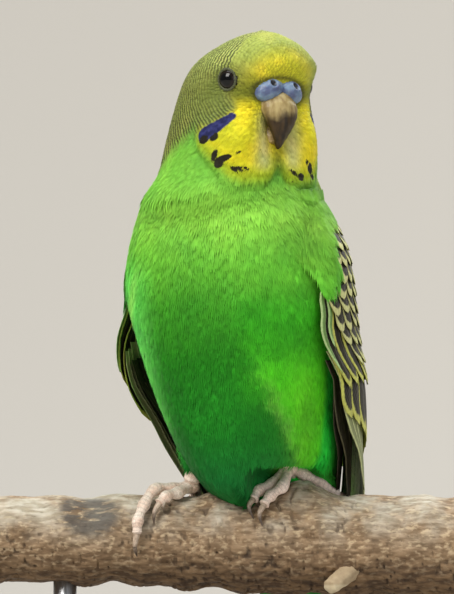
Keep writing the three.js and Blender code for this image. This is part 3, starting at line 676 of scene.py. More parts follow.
# The body's green by height over the perch's top, and the mask's yellow by height over its lower edge
GREENS = ((-30, (70, 150, 60)), (-10, (40, 128, 50)), (2, (12, 120, 46)), (14, (20, 134, 24)),
          (30, (30, 132, 12)), (42, (62, 156, 28)), (52, (98, 180, 46)), (62, (132, 198, 62)),
          (70, (118, 190, 60)))
YELLOWS = ((0, (112, 156, 34)), (2.2, (160, 182, 28)), (5, (214, 206, 26)), (17, (220, 210, 32)))


def ramp_tint(value, *stops):
    """Straight stretches between (place, (red, green, blue)) stops, in linear colour."""
    places, tones = zip(*stops)
    tones = np.array([tint(*tone) for tone in tones])
    return np.stack([np.interp(value, places, tones[:, k]) for k in range(3)], -1)


def body_ground(z, turn):
    """The body's green at heights and turns from its front: yellowish on the chest, deep on the belly, with
    a lighter thigh to its left, a pale line along its right side, and yellow between the bars of the back.
    It also carries painted light and shade: paler over its right side, darker on the left of the chest."""
    back = np.abs(turn)
    ground = ramp_tint(z, *GREENS)
    # Painted light: paler over the right side, which faces the key light
    ground = blend(ground, tint(112, 240, 96), rise(-turn, 24, 58) * rise(z, 54, 44) * rise(z, 8, 20) * 0.9)
    ground = blend(ground, tint(54, 172, 22), rise(turn, 12, 32) * rise(z, 16, 24) * rise(z, 46, 38) * 0.85)
    # Painted light and shade: darker on the left of the chest, lighter under it and on the right
    ground = ground * (1 - 0.2 * rise(turn, 35, 65) * rise(z, 50, 58))[..., None]
    ground = ground * (1 + 0.22 * rise(turn, 25, 55) * rise(z, 34, 42) * rise(z, 54, 48))[..., None]
    ground = ground * (1 + 0.18 * rise(-turn, 20, 60) * rise(z, 44, 52))[..., None]
    edge = ramp(z, (6, 57), (15, 42), (23, 33), (33, 22)) + 3 * np.sin(z * 2.1) + 2 * np.sin(z * 0.9)
    thigh = ease((turn - edge + 2) / 8) * rise(turn, 100, 80) * rise(z, 39, 21) * rise(z, 3, 8)
    ground = blend(ground, tint(86, 224, 26), thigh * 0.9)
    ground = blend(ground, tint(116, 196, 34), hump(turn, 63, 16) * hump(z, 15, 12) * 0.5)
    ground = blend(ground, tint(140, 206, 84), bell((turn - edge - 3) / 4) * hump(z, 17, 8) * 0.5)
    ground = blend(ground, tint(36, 224, 66), rise(turn, 80, 90) * rise(z, 40, 26) * 0.9)
    rim = ramp(z, (33, -77), (43, -52), (50, -46))
    ground = blend(ground, tint(186, 246, 110), hump(turn, rim, 5) * rise(z, 3, 9) * rise(z, 54, 36) * 0.8)
    ground = blend(ground, tint(100, 178, 58), rise(back, 95, 135) * rise(z, 24, 4))
    mantle = rise(back, 95, 120) * rise(z, 20, 34)
    return blend(ground, tint(170, 184, 80), mantle * 0.85), mantle


def direction_of(points):
    """The direction of points about the centre of their level section, from -Y towards +X."""
    rows = table_at(SECTIONS, points[..., 2] - PERCH_TOP)
    return np.arctan2(points[..., 0] - rows[..., 1], rows[..., 2] - points[..., 1])


def off_axis(points, up):
    """Degrees between the way ahead and the way to points from a place in the head, up over its pivot."""
    return np.degrees(np.arccos(np.clip(unit(points - face_point(0, 2, up)) @ AHEAD, -1, 1)))


def mask_ground(ground, side, z):
    """The yellow mask over the ground: greenish at its lower rim, pale beside the beak, with a painted shadow
    under the beak.
    """
    inside = z - mask_edge(side)
    yellow = ramp_tint(inside, *YELLOWS)
    yellow = blend(yellow, tint(196, 196, 118), hump(side, 14, 7) * rise(z, 87, 83) * rise(z, 71, 74) * 0.95)
    # Painted shadow: olive under the beak, between the mask's lobes
    yellow = blend(yellow, tint(126, 118, 30), bell(side / 5) * hump(z, 75, 3.5) * 0.7)
    return blend(ground, yellow, rise(inside, -1.3, 1.9) * ease((77 - side) / 9 + (z - 80) / 9))


def spot_distance(turn, z):
    """Millimetres outside the nearest throat spot, each a slanted oval."""
    u = turn[..., None] * ARC - SPOTS[:, 0] * ARC
    v = z[..., None] - SPOTS[:, 1] - SPOTS[:, 4] * u
    apart = (np.sqrt((u / SPOTS[:, 2]) ** 2 + (v / SPOTS[:, 3]) ** 2) - 1) * SPOTS[:, 2:4].min(1)
    return np.clip(apart.min(-1), -2, 2)


def patch_distance(side, z):
    """Millimetres outside the cheek patch: a line between its two ends, thickest at the lower one."""
    line = PATCH_HIGH - PATCH_LOW
    place = np.stack([side * ARC, z], -1) - PATCH_LOW
    share = np.clip(place @ line / (line @ line), 0, 1)
    return np.clip(np.linalg.norm(place - share[..., None] * line, axis=-1) - (1.75 - 0.85 * share), -3, 3)


def marks(points):
    """Where points of the plumage lie among its markings. Gives the plain ground colour, and four numbers:
    the angle from the brow's middle that the bars follow, waved as their feathers overlap; the bars'
    strength; and the distances in millimetres outside the throat spots and the cheek patch."""
    z, angle = points[..., 2] - PERCH_TOP, direction_of(points)
    turn = np.degrees(wrap(angle - HEAD_HEADING))
    side = np.abs(turn)
    ground, mantle = body_ground(z, np.degrees(wrap(angle - BODY_HEADING)))
    ground = mask_ground(ground, side, z)
    spread, rings = off_axis(points, 4), off_axis(points, 7.5)
    from_brow = points - face_point(0, 2, 7.5)
    around = np.abs(np.degrees(np.arctan2(from_brow @ SIDE, from_brow @ TOP)))
    # Nape and cheeks, and the face from the cere to the crown
    low_edge = ramp(side, *BAR_EDGE) + 0.6 * np.sin(0.8 * side) * np.sin(0.23 * side)
    head_top = ease((z - low_edge + 0.8) / 1.8) * rise(z, 64, 68)
    nape = ease((z - low_edge + 3.5) / 7) * rise(z, 64, 68)
    front = 45 + 6 * rise(around, 60, 25)
    upper = blend(tint(142, 152, 72), tint(166, 178, 92), rise(z, 88, 98))
    ground = blend(ground, upper, np.where(side > 66, nape, head_top) * ease((rings - front + 4) / 8))
    crown = blend(tint(224, 216, 50), tint(156, 168, 74), rise(spread, 24, 44))
    crown = blend(crown, tint(124, 128, 24), rise(around, 72, 108) * rise(spread, 16, 26))
    ground = blend(ground, crown, (1 - ease((rings - front) / 6)) * rise(z, 85.5, 89))
    # Painted shadow: a dark olive ring round the cere, where the forehead's feathers overhang it
    from_cere = points - face_point(0, 2, 5.2)
    rim = np.hypot(from_cere @ SIDE / 6.5, from_cere @ TOP / 3.2)
    ground = blend(ground, tint(70, 68, 22), hump(rim, 1.02, 0.17) * ease((from_cere @ AHEAD - 8) / 2) * 0.8)
    ear = hump(around, 102, 18) * hump(rings, 60, 22)
    ground = blend(ground, tint(112, 124, 50), ear * head_top)
    # The far cheek: a dark stripe where its bars and patch are seen edge on, darkened further as painted
    # shade
    far_cheek = rise(turn, 41, 46) * rise(turn, 62, 56) * rise(z, 77, 80) * rise(z, 91, 88)
    ground = blend(ground, tint(62, 46, 20), far_cheek * 0.6)
    # Bars: strong on nape and cheeks, faint over the crown, and again on the mantle, level at the back
    bars = np.maximum(head_top, nape * 0.6) * ease((rings - front) / 4) * (1 - 0.9 * ear)
    bars = np.maximum(bars, 0.22 * rise(rings, 20, 28) * rise(z, 94, 98))
    bars = np.maximum(bars, mantle * 0.9)
    level = 127 + 2 * (90 - z)
    bands = rings + 2.2 * np.logaddexp(0, 88 - z)
    bands = bands + (level - bands) * rise(side, 115, 165)
    wave = 0.34 * np.sin(np.radians(around * 41)) + 0.3 * np.sin(np.radians(around * 67 + rings * 50))
    return ground, np.stack([bands + wave, bars, spot_distance(turn, z), patch_distance(side, z)], -1)


def mark_mesh(thing, points, shade):
    """Stores the markings of a mesh's points, or of the roots that they grow from, for its material."""
    ground, lines = marks(points)
    add_colours(thing, "Ground", ground * np.asarray(shade)[..., None])
    add_colours(thing, "Marks", lines)


def plumage_tone(start):
    """The plumage's colour: its ground, then dark bars, throat spots and cheek patches cut to crisp edges."""
    ground = attribute(start, "Ground", "Color")
    bands = start.node("SeparateColor", {}, {"Color": attribute(start, "Marks", "Color")}, "Red")
    bars, spot, patch = bands.also("Green"), bands.also("Blue"), attribute(start, "Marks", "Alpha")
    ragged, soft, broad = noise(start, 900.0, 3.0), noise(start, 150.0), noise(start, 85.0, 3.0)
    lighter = start.node("VectorMath", {"operation": "MULTIPLY"}, {0: ground, 1: (1.5, 1.25, 1.4)}, "Vector")
    deeper = start.node("VectorMath", {"operation": "MULTIPLY"}, {0: ground, 1: (0.62, 0.78, 0.9)}, "Vector")
    ground = (soft.between(0.42, 0.7) * 0.5).mix(ground, lighter)
    ground = (broad.between(0.48, 0.7) * 0.5).mix(ground, deeper)
    wave = start.maths("SINE", (bands + ragged * 1.8 + soft * 2.4) * (2 * np.pi / BAR_GAP))
    dark = wave.between(-0.3, 0.3) * bars
    tone = (dark * 0.84).mix(ground, colour(40, 46, 18))
    violet = (patch + ragged * 0.6 - 0.3).between(0.25, -0.2)
    tone = violet.mix(tone, ragged.tones((24, 28, 76), (46, 50, 108)))
    black = (spot + ragged * 0.7 - 0.35).between(0.12, -0.12)
    return black.mix(tone, colour(30, 26, 10))


def skin_height(share):
    """Heights from crown to rump, closer together over the head."""
    down = 2 * share - 1
    return np.where(share < 0.5, CROWN_Z - (CROWN_Z - NECK_Z) * np.clip(2 * share, 0, 1) ** 1.6,
                    NECK_Z - (NECK_Z - RUMP_Z) * down * (1.25 - 0.25 * down))


def coat_depth(z):
    """How far the skin lies under the feathers' outline: less on the head than on the body."""
    return 1.15 - 0.6 * rise(z, 62, 82)


def crown_drop(z):
    """How far the skin and the roots are lowered where the outline runs level, on the crown and the rump."""
    return coat_depth(z) * (1.3 * rise(z, 93, 101) - rise(z, -28, -32))


def under_coat(z, direction):
    """The outline drawn in by the coat's depth, and lowered where it runs level."""
    points = skin_point(z, direction, -coat_depth(z))
    points[..., 2] -= crown_drop(z)
    return points


def skin_surface():
    """The surface under the coat on a grid of shares down it by directions round it."""
    share = np.linspace(0.0005, 0.9995, 230)[:, None]
    direction = np.linspace(0, 2 * np.pi, 190, endpoint=False)[None]
    return under_coat(skin_height(share) + 0 * direction, direction)


THIGH_GRID = 40
# Painted shade: the skin seen deep between the feathers is drawn darker than they are
SKIN_PAINTED_SHADE = 0.62
# Each thigh's flesh from the body to the ankle
THIGHS = {
    "left": [(9.6, -6.5, 121), (11.4, -5.2, 114), (12.9, -3, 110)],
    "right": [(-3.6, -4, 119), (-5.4, -3, 112), (-7, -1.8, 107.4)],
}


def thigh_surface(side, grow):
    """The thigh's rounded flesh, narrowing to the ankle, as a limb along its path."""
    def size(share):
        return 7.2 - 4 * ease(share) + grow

    return limb_shape(THIGHS[side], size, size, (0, 1, 0), THIGH_GRID, THIGH_GRID, 0.3)


def joined(shapes):
    """The points and faces of several shapes as one."""
    firsts = np.cumsum([0] + [len(corners) for corners, _ in shapes])
    faces = [faces + first for (_, faces), first in zip(shapes, firsts)]
    return np.concatenate([corners for corners, _ in shapes]), np.concatenate(faces)


plumage, start, shader = new_finish(
    "plumage", Roughness=0.72, Specular_IOR_Level=0.25, Sheen_Weight=0.02, Sheen_Roughness=0.5)
feed(shader, Base_Color=plumage_tone(start))
surface = skin_surface()
body = surface.reshape(-1, 3), grid_faces(*surface.shape[:2], closed=True)[:, ::-1]
corners, faces = joined([body, *(thigh_surface(side, -1.0) for side in THIGHS)])
skin = add_mesh("skin", corners, faces, plumage)
mark_mesh(skin, corners, SKIN_PAINTED_SHADE)
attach(skin, "root")
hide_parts("head", "neck", "torso", "thigh_left", "thigh_right")


# Contour feathers: each a fan of barbs on a short shaft. They lie back from the beak over the head
# and down the body, small on the face and long on the breast, and overlap like tiles.

BARB_ROWS = np.array([0.04, 0.5, 1.0])
BARB_RUN = np.array([0.04, 0.04, 0.5, 0.5, 1.0])
# The way in which body feathers hang: down, and a little towards the tail
HANG = np.array([-0.32 * np.sin(BODY_HEADING), 0.32 * np.cos(BODY_HEADING), -1])


def along_surface(flow, normals):
    """A direction laid flat on a surface with these normals."""
    return unit(flow - (flow * normals).sum(-1, keepdims=True) * normals)


def lie(points, normals):
    """The way feathers lie: away from the beak on the head, down and a little back on the body."""
    z = points[..., 2:] - PERCH_TOP
    away = unit(points - face_point(0, 13, 2))
    behind = (1 - normals @ AHEAD)[..., None] / 2
    on_head = away + 0.9 * behind * np.array([0, 0, -1])
    return along_surface(HANG + (on_head - HANG) * rise(z, 62, 76), normals)


def fans(roots, normals, flows, size, barbs, chance):
    """Feathers as fans of barbs. A barb leaves the shaft at the root, runs along the lie and out to the
    side by its place in the fan, bends as the body under it bends, and ends in a point. Gives points,
    faces, shading normals, and each point's place across the fan and share of its length."""
    count = len(roots)
    length, width, lift, bend = (value[:, None, None] for value in size)
    across = np.linspace(-1, 1, barbs)[None, :, None]
    along = BARB_ROWS[None, None, :]
    jitter = chance.normal(0, 0.09, (count, barbs, 1))
    reach = length * along * (1 - 0.3 * np.abs(across) ** 1.7 + jitter * along)
    out = width * across * np.sqrt(along) * (1 + 0.12 * chance.normal(0, 1, (count, 1, 1)))
    height = lift * along * (1 - 0.35 * across**2) + bend * along**2 - 0.1 * np.abs(across) * along
    sides = np.cross(normals, flows)[:, None, None]
    roots, normals, flows = (vectors[:, None, None] for vectors in (roots, normals, flows))
    middle = roots + flows * reach[..., None] + sides * out[..., None] + normals * height[..., None]
    half = sides * (width / barbs * np.array([0.7, 1.35, 0]))[..., None]
    left, right = middle + half, middle - half
    corners = np.stack([left[:, :, 0], right[:, :, 0], left[:, :, 1], right[:, :, 1], middle[:, :, 2]], 2)
    pattern = np.array([[0, 1, 3], [0, 3, 2], [2, 3, 4]])
    faces = ((np.arange(count * barbs) * 5)[:, None, None] + pattern).reshape(-1, 3)
    facing = unit(normals + 0.3 * sides * across[..., None] + 0.12 * chance.normal(0, 1, (count, 1, 1, 3)))
    place = np.broadcast_to(across, (count, barbs, 5))
    run = np.broadcast_to(BARB_RUN, place.shape)
    return corners, faces, np.broadcast_to(facing, corners.shape), place, run


def body_pitch(z):
    """Gap between roots: wide on the body and narrow on the head."""
    return 1.12 - 0.46 * rise(z, 58, 78)


def coat_roots(low, high, chance):
    """Roots spread over the outline from one height to another: rings a pitch apart along its slope, each
    with its perimeter over the pitch in directions, all moved a little at random."""
    share = np.linspace(0.001, 0.999, 1600)
    ring = np.linspace(0, 2 * np.pi, 48, endpoint=False)
    z = skin_height(share)
    path = skin_point(z[:, None], ring[None])
    run = np.concatenate([[0], np.linalg.norm(np.diff(path, axis=0), axis=-1).mean(1).cumsum()])
    gaps = body_pitch(z)
    order = np.concatenate([[0], (np.diff(run) / (0.5 * (gaps[1:] + gaps[:-1]) * 0.87)).cumsum()])
    rows = np.interp(np.arange(0, order[-1]), order, share)
    girth = np.linalg.norm(path - np.roll(path, 1, axis=1), axis=-1).sum(1)
    heights = skin_height(rows)
    counts = np.maximum(3, np.interp(rows, share, girth) / body_pitch(heights)).astype(int)
    keep = (heights > low) & (heights <= high)
    rows, counts, heights = rows[keep], counts[keep], heights[keep]
    which = np.repeat(np.arange(len(rows)), counts)
    index = np.arange(counts.sum()) - np.repeat(counts.cumsum() - counts, counts)
    turn = index + 0.5 * (which % 2) + chance.uniform(-0.32, 0.32, len(which))
    direction = turn / counts[which] * 2 * np.pi
    step = body_pitch(heights)[which] * chance.uniform(-0.3, 0.3, len(which))
    slope = np.interp(rows, share[1:], np.diff(run) / np.diff(share))[which]
    moved = np.clip(rows[which] + step / slope, 0.002, 0.998)
    return skin_height(moved), direction, moved


def plant(name, roots, normals, flows, size, places, chance, barbs, mark_at=None):
    """Plants fans of a length, half width, lift and bend at roots and makes them one mesh with its markings,
    taken where it lies or at other points, and its bake map: a fan is a patch at its root's place."""
    sway = chance.normal(0, 0.13, len(roots))[:, None]
    flows = unit(flows + sway * np.cross(normals, flows))
    corners, faces, facing, across, run = fans(roots, normals, flows, size, barbs, chance)
    coat = add_mesh(name, corners.reshape(-1, 3), faces, plumage)
    coat.data.normals_split_custom_set_from_vertices(facing.reshape(-1, 3).astype(np.float32))
    bright = chance.normal(1, 0.06, len(roots))[:, None, None] * (0.72 + 0.36 * run)
    mark_mesh(coat, corners if mark_at is None else mark_at[:, None, None] + 0 * corners, bright)
    patch = np.stack([across, 2 * run - 1], -1) * 0.0015
    spots = (0.004 + 0.992 * places[:, None, None] + patch).reshape(-1, 2)[faces.ravel()]
    coat.data.uv_layers.new(name="OFBake").uv.foreach_set("vector", spots.astype(np.float32).ravel())
    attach(coat, "root")


def feather_size(z, roots):
    """Length, half width, lift and bend: long on the body, short on the head, least by the cere and eyes."""
    head = rise(z, 60, 76)
    length = 4.3 - 2.3 * head - 0.55 * rise(z, 88, 96)
    from_beak = np.linalg.norm(roots - face_point(0, 16.5, 4.5), axis=-1)
    from_eye = np.min([np.linalg.norm(roots - point, axis=-1) for point, _ in EYES.values()], axis=0)
    length = length * (0.42 + 0.58 * rise(from_beak, 4.5, 11.5)) * (0.4 + 0.6 * rise(from_eye, 2.4, 5.9))
    return length, length * (0.3 + 0.06 * head), 0.38 + 0.37 * (1 - head) + 0 * length, -length**2 / 52


def surface_bend(roots, normals, flows, length):
    """How far the skin under a feather's tip lies off the straight line from its root along its lie."""
    tips = roots + flows * length[:, None]
    under = under_coat(tips[:, 2] - PERCH_TOP, direction_of(tips))
    bend = ((under - tips) * normals).sum(-1)
    most = length**2 / 14
    return np.where(np.abs(normals[:, 2]) > 0.85, -length**2 / 34, np.clip(bend, -most, most))


# Each eye's place and way out, and the places that stay bare of feathers with their reach
EYES = {}
for name, side, turned, sunk in (("left", 1, 61, 0.5), ("right", -1, 54.6, 0)):
    level = HEAD_PIVOT[2] + 7.1 - side * 12 * np.sin(HEAD_ROLL)
    direction = HEAD_HEADING + side * np.radians(turned)
    EYES[name] = (skin_point(level, direction, -sunk), skin_normal(level, direction))
BARE = [(face_point(side * 2.6, 15.6, 5.1), 2.8) for side in (-1, 1)]
BARE += [(face_point(0, 15.5, 2.5), 4.0), (face_point(0, 16.5, -1), 3.0)]
BARE += [(point, 2.3) for point, _ in EYES.values()]

# Each coat's name, lowest and highest roots, random seed, and barbs in a feather
COATS = (("coat_rump", RUMP_Z, 14, 11, 7), ("coat_breast", 14, 60, 12, 7), ("coat_neck", 60, 82, 13, 5),
         ("coat_head", 82, CROWN_Z, 14, 5))
for name, low, high, seed, barbs in COATS:
    chance = np.random.default_rng(seed)
    z, direction, share = coat_roots(low, high, chance)
    roots = skin_point(z, direction)
    free = np.all([np.linalg.norm(roots - place, axis=-1) > reach for place, reach in BARE], axis=0)
    z, direction, share = z[free], direction[free], share[free]
    roots = under_coat(z, direction)
    normals = skin_normal(z, direction)
    places = np.stack([(direction / (2 * np.pi)) % 1, share], -1)
    flows, (length, width, lift, _) = lie(roots, normals), feather_size(z, roots)
    size = length, width, lift, surface_bend(roots, normals, flows, length)
    plant(name, roots, normals, flows, size, places, chance, barbs)


# Wings: closed over the sides, each of overlapping vanes in tiers, from the long primaries under all
# to the small coverts on top. A vane is a thin cupped blade, dark inside and pale yellow at its rim.

# Height over the perch's top, centre's distance back, half width, half depth, front and back angle
WING = np.array([
    [-26, 30, 7.5, 5, 114, 150], [-18, 24, 11.5, 9.5, 106, 166], [-10, 18, 16, 14.5, 104, 172],
    [-1, 11, 20.8, 20.5, 100, 174], [4.4, 7, 22.3, 23, 97, 174], [9.3, 4.2, 23.8, 24, 95, 175],
    [15, 1.6, 25, 25, 92, 175], [27, -2.8, 26.5, 25.5, 78, 175], [37, -6.2, 26.6, 25, 70, 174],
    [45, -8.8, 27, 24, 78, 172], [54, -10.8, 26.4, 22, 83, 168], [66, -11.6, 21, 17.5, 90, 150]])
VANE_ROWS = 14
# Across a vane: over its upper face and back under its lower one
VANE_LOOP = np.concatenate([np.linspace(-1, 1, 9), np.linspace(0.75, -0.75, 7)])
VANE_FACE = np.concatenate([np.ones(9), -np.ones(7)])
VANE_SIDES = len(VANE_LOOP)


def wing_girth(z):
    """The folded wing's length round at heights: its angle times its mean half size."""
    rows = table_at(WING, z)
    return np.radians(rows[..., 5] - rows[..., 4]) * (rows[..., 2] + rows[..., 3]) / 2


def wing_point(side, z, share, over):
    """The folded wing: a level squared-off arc about the trunk's side, from its front angle to its back
    angle by share, moved out by over. The right wing stands off at its bend and lies close above it, and
    the left one's front edge swings forward below the shoulder."""
    rows = table_at(WING, z)
    back, half, depth, first, last = (rows[..., k] for k in range(1, 6))
    if side < 0:
        half = half + 1.9 * hump(z, 30, 9) - 2.9 * rise(z, 34, 46)
        half = half - 0.9 * hump(z, 54, 5) - 0.5 * rise(z, 14, 5)
        first = np.maximum(first, 82)
    else:
        half = half - 1.0 * rise(z, 24, 34) + 0.8 * rise(z, 12, 2)
        first = first - 8 * rise(z, 8, 16) * rise(z, 52, 44) + 6.5 * rise(z, 19, 27) * rise(z, 45, 39)
    angle = np.radians(first + (last - first) * share)
    left = side * (half + over) * signed_power(np.sin(angle), 2 / SECTION_POWER)
    return trunk_point(left, back - (depth + over) * signed_power(np.cos(angle), 2 / SECTION_POWER), z)


def vane_outline(along, full):
    """Half width along a vane as a share of its widest, and how far into its rounded end: it fills out
    over its first part, stays full, then closes in a quarter ellipse."""
    end = np.clip((along - full) / (1 - full), 0, 1)
    return (0.55 + 0.45 * ease(along / 0.35)) * np.sqrt(1 - end**2), end


def vane_fields(count, full, rim_side, rim_tip):
    """Along, across and half width of each vane point, and how far inside its dark centre it lies, whose
    own outline is given as shares across and into the rounded end."""
    along = np.linspace(0, 1, VANE_ROWS)[None, :, None] ** 0.9
    along = np.broadcast_to(along, (count, VANE_ROWS, VANE_SIDES))
    across = np.broadcast_to(VANE_LOOP, along.shape)
    width, end = vane_outline(along, full)
    dark = 0.7 * (1 - np.sqrt((across * np.sqrt(1 - end**2) / rim_side) ** 2 + (end / rim_tip) ** 2))
    return along, across, width, dark


def wing_vanes(side, tier, chance):
    """One tier of a wing: its vanes go from the front one to the back one between two roots and two tips."""
    def jitter(size):
        return chance.normal(0, size, (tier["count"], 1, 1))

    def from_front(ends):
        """A height and a share for each vane, between those at the front and those at the back."""
        order = np.linspace(0, 1, tier["count"])[:, None, None]
        return [first + (last - first) * order for first, last in zip(*ends)]

    along, across, width, dark = vane_fields(tier["count"], tier["full"], *tier["rims"])
    root, tip = from_front(tier["root"]), from_front(tier["tip"])
    tip[0] = tip[0] + jitter(tier["uneven"])
    z = root[0] + (tip[0] - root[0]) * along
    spread = (across * width * tier["half"] + jitter(0.15)) / wing_girth(z)
    share = root[1] + (tip[1] - root[1]) * along + spread
    face = np.broadcast_to(VANE_FACE, along.shape)
    thick = 0.1 * face * (1 - across**2) * (1.3 - along) * (1 - bell(along / 0.02)) + 0.02 * face
    lift = tier["under"] + (tier["over"] - tier["under"]) * along
    shaft = 0.07 * bell(across / 0.1) * (face > 0) * (1 - along)
    over = lift - 0.2 * across + 0.28 * (1 - across**2) * np.sqrt(width) + thick + shaft + jitter(0.05)
    return wing_point(side, z, share, over), np.stack([dark, along, across], -1)


def join_vanes(batches):
    """Closed blades from batches of points by count, rows and loop, their fields, and their two tones."""
    points = np.concatenate([points for points, *_ in batches])
    fields = np.concatenate([fields for _, fields, _ in batches])
    tones = np.concatenate([np.broadcast_to(tones, (len(points), 2, 3)) for points, _, tones in batches])
    count, rows, loop = points.shape[:3]
    faces = grid_faces(rows, loop, closed=True)[None] + (np.arange(count) * rows * loop)[:, None, None]
    return points, fields, tones, faces.reshape(-1, 4)


def bake_tiles(thing, count, faces):
    """OFBake for vanes: each has a tile of its own, and its loop unrolls across the tile."""
    across = int(np.ceil(np.sqrt(count)))
    vane, inside = faces // (VANE_ROWS * VANE_SIDES), faces % (VANE_ROWS * VANE_SIDES)
    row, place = inside // VANE_SIDES, inside % VANE_SIDES
    seam = (np.ptp(place, axis=1) > VANE_SIDES / 2)[:, None]
    place = np.where(seam & (place == 0), VANE_SIDES, place)
    u = (place / VANE_SIDES) * 0.9 + 0.05
    v = row / (VANE_ROWS - 1) * 0.9 + 0.05
    spots = np.stack([(vane % across + u) / across, (vane // across + v) / across], -1)
    thing.data.uv_layers.new(name="OFBake").uv.foreach_set("vector", spots.astype(np.float32).ravel())


def make_vanes(name, batches, material, flip=False):
    """One mesh of vanes with the fields and tones that the vane material reads."""
    points, fields, tones, faces = join_vanes(batches)
    if flip:
        faces = faces[:, ::-1]
    thing = add_mesh(name, points.reshape(-1, 3), faces, material)
    for k, label in enumerate(("Rim_tone", "Core_tone")):
        add_colours(thing, label, np.broadcast_to(tones[:, None, None, k], points.shape))
    add_colours(thing, "Fields", fields)
    bake_tiles(thing, len(points), faces)
    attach(thing, "root")
    return thing


def vane_finish(name):
    """Pale rim over a dark centre, with a fine streak along the barbs and a lighter shaft."""
    material, start, shader = new_finish(name, Roughness=0.55, Specular_IOR_Level=0.35)
    dark = start.node("SeparateColor", {}, {"Color": attribute(start, "Fields", "Color")}, "Red")
    along, outward = dark.also("Green"), start.maths("ABSOLUTE", dark.also("Blue"))
    ragged = noise(start, 1500.0, 3.0)
    barbs = start.maths("SINE", (along * 60 - outward * 12) * 2 + ragged * 3)
    core = (dark + (ragged - 0.5) * 0.16).between(-0.05, 0.07)
    tone = core.mix(attribute(start, "Rim_tone", "Color"), attribute(start, "Core_tone", "Color"))
    tone = (outward.between(0.09, 0.03) * 0.35).mix(tone, colour(120, 112, 84))
    tone = (ragged.between(0.3, 0.75) * 0.22).mix(tone, colour(60, 56, 30))
    feed(shader, Base_Color=tone, Normal=bump(start, barbs, 0.3, 0.00012))
    return material


PALE, YELLOW, DARK = tint(206, 206, 138), tint(200, 202, 98), tint(24, 20, 10)
GREEN_GREY, SOOT, GAP_SHADE_RIM = tint(196, 204, 146), tint(136, 144, 98), tint(96, 92, 66)
SLIVER, SLIVER_CORE = tint(176, 206, 136), tint(108, 146, 74)
wing_finish = vane_finish("wing_vanes")
# Where the scaly rows start behind the wing's front edge, from the lowest row up
SCALE_FRONTS = {1: (0.26, 0.19, 0.14, 0.1, 0.07, 0.05, 0.05, 0.12, 0.16),
                -1: (0.26, 0.19, 0.14, 0.12, 0.2, 0.36, 0.38, 0.38, 0.38)}


def wing_tiers(side):
    """The tiers of one wing, from the lowest layer up: how many vanes, their half width, how far under or
    over the wing they start and end, and their roots and tips as heights and shares, front and back."""
    long_tiers = [
        # Painted shade: the two lowest tiers are dark vanes that fill the shadowed gap between the body and
        # the primaries
        (dict(count=6, half=2.6, under=-3.0, over=-4.6, full=0.6, rims=(0.85, 0.9), uneven=0.5,
              root=[[30, 0.04], [32, 0.4]], tip=[[-14, 0.1], [-9, 0.4]]), (GAP_SHADE_RIM, DARK)),
        (dict(count=2, half=2.4, under=-3.6, over=-7.4, full=0.6, rims=(0.95, 0.95), uneven=0.3,
              root=[[24, 0.05], [25, 0.12]], tip=[[-7, 0.05], [-8, 0.14]]), (GAP_SHADE_RIM, DARK)),
        (dict(count=8, half=2.5, under=-1.9, over=-0.7, full=0.55, rims=(0.68, 0.9), uneven=0.3,
              root=[[34, 0.1], [36, 0.5]], tip=[[-26, 0.42], [-5, 0.56]]), (GREEN_GREY, SOOT)),
        (dict(count=3, half=1.5, under=-1.7, over=-0.6, full=0.6, rims=(0.6, 0.85), uneven=0.3,
              root=[[32, 0.02], [33, 0.12]], tip=[[1, 0.05], [-12, 0.2]]), (GREEN_GREY, SOOT)),
        (dict(count=9, half=3.3, under=-1.6, over=-0.3, full=0.68, rims=(0.7, 0.74), uneven=0.3,
              root=[[40, 0.12], [42, 0.74]], tip=[[17, 0.03], [4, 0.66]]), (YELLOW, DARK)),
        (dict(count=3, half=4.2, under=-1.4, over=-0.1, full=0.66, rims=(0.74, 0.8), uneven=0.3,
              root=[[42, 0.76], [44, 0.92]], tip=[[5, 0.76], [3.4, 0.92]]), (YELLOW, DARK)),
        (dict(count=10, half=2.7, under=-1.2, over=0.1, full=0.7, rims=(0.66, 0.76), uneven=0.3,
              root=[[47, 0.05], [49, 0.8]], tip=[[24, 0.04], [27, 0.82]]), (YELLOW, DARK)),
        (dict(count=2, half=1.1, under=-0.9, over=0.2, full=0.6, rims=(0.5, 0.7), uneven=0.4,
              root=[[49, 0.0], [50, 0.06]], tip=[[27, 0.0], [32, 0.05]]), (SLIVER, SLIVER_CORE)),
    ]
    scales = []
    for k, front in enumerate(SCALE_FRONTS[side]):
        low = 29.5 + 3.5 * k
        shift = 0.035 * (k % 2)
        scales.append((dict(
            count=10 if k < 7 else 8, half=2.7, under=-0.9, over=0.5,
            full=0.5, rims=(0.86, 0.62), uneven=0.35,
            root=[[low + 9, front], [low + 9, 0.9 + shift]],
            tip=[[low, front], [low + 1.5, 0.9 + shift]]), (PALE, DARK)))
    return long_tiers + scales


for name, side, seed in (("left", 1, 21), ("right", -1, 22)):
    chance = np.random.default_rng(seed)
    batches = [(*wing_vanes(side, tier, chance), np.stack(tones)) for tier, tones in wing_tiers(side)]
    wing = make_vanes(f"wing_vanes_{name}", batches, wing_finish, flip=side > 0)
    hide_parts(f"wing_{name}")


# Flank and thigh feathers: the body's green feathers that lap over each wing's bend and front edge,
# farther down on the right, and those that hang from the thighs over the ankles. Fans as on the body.

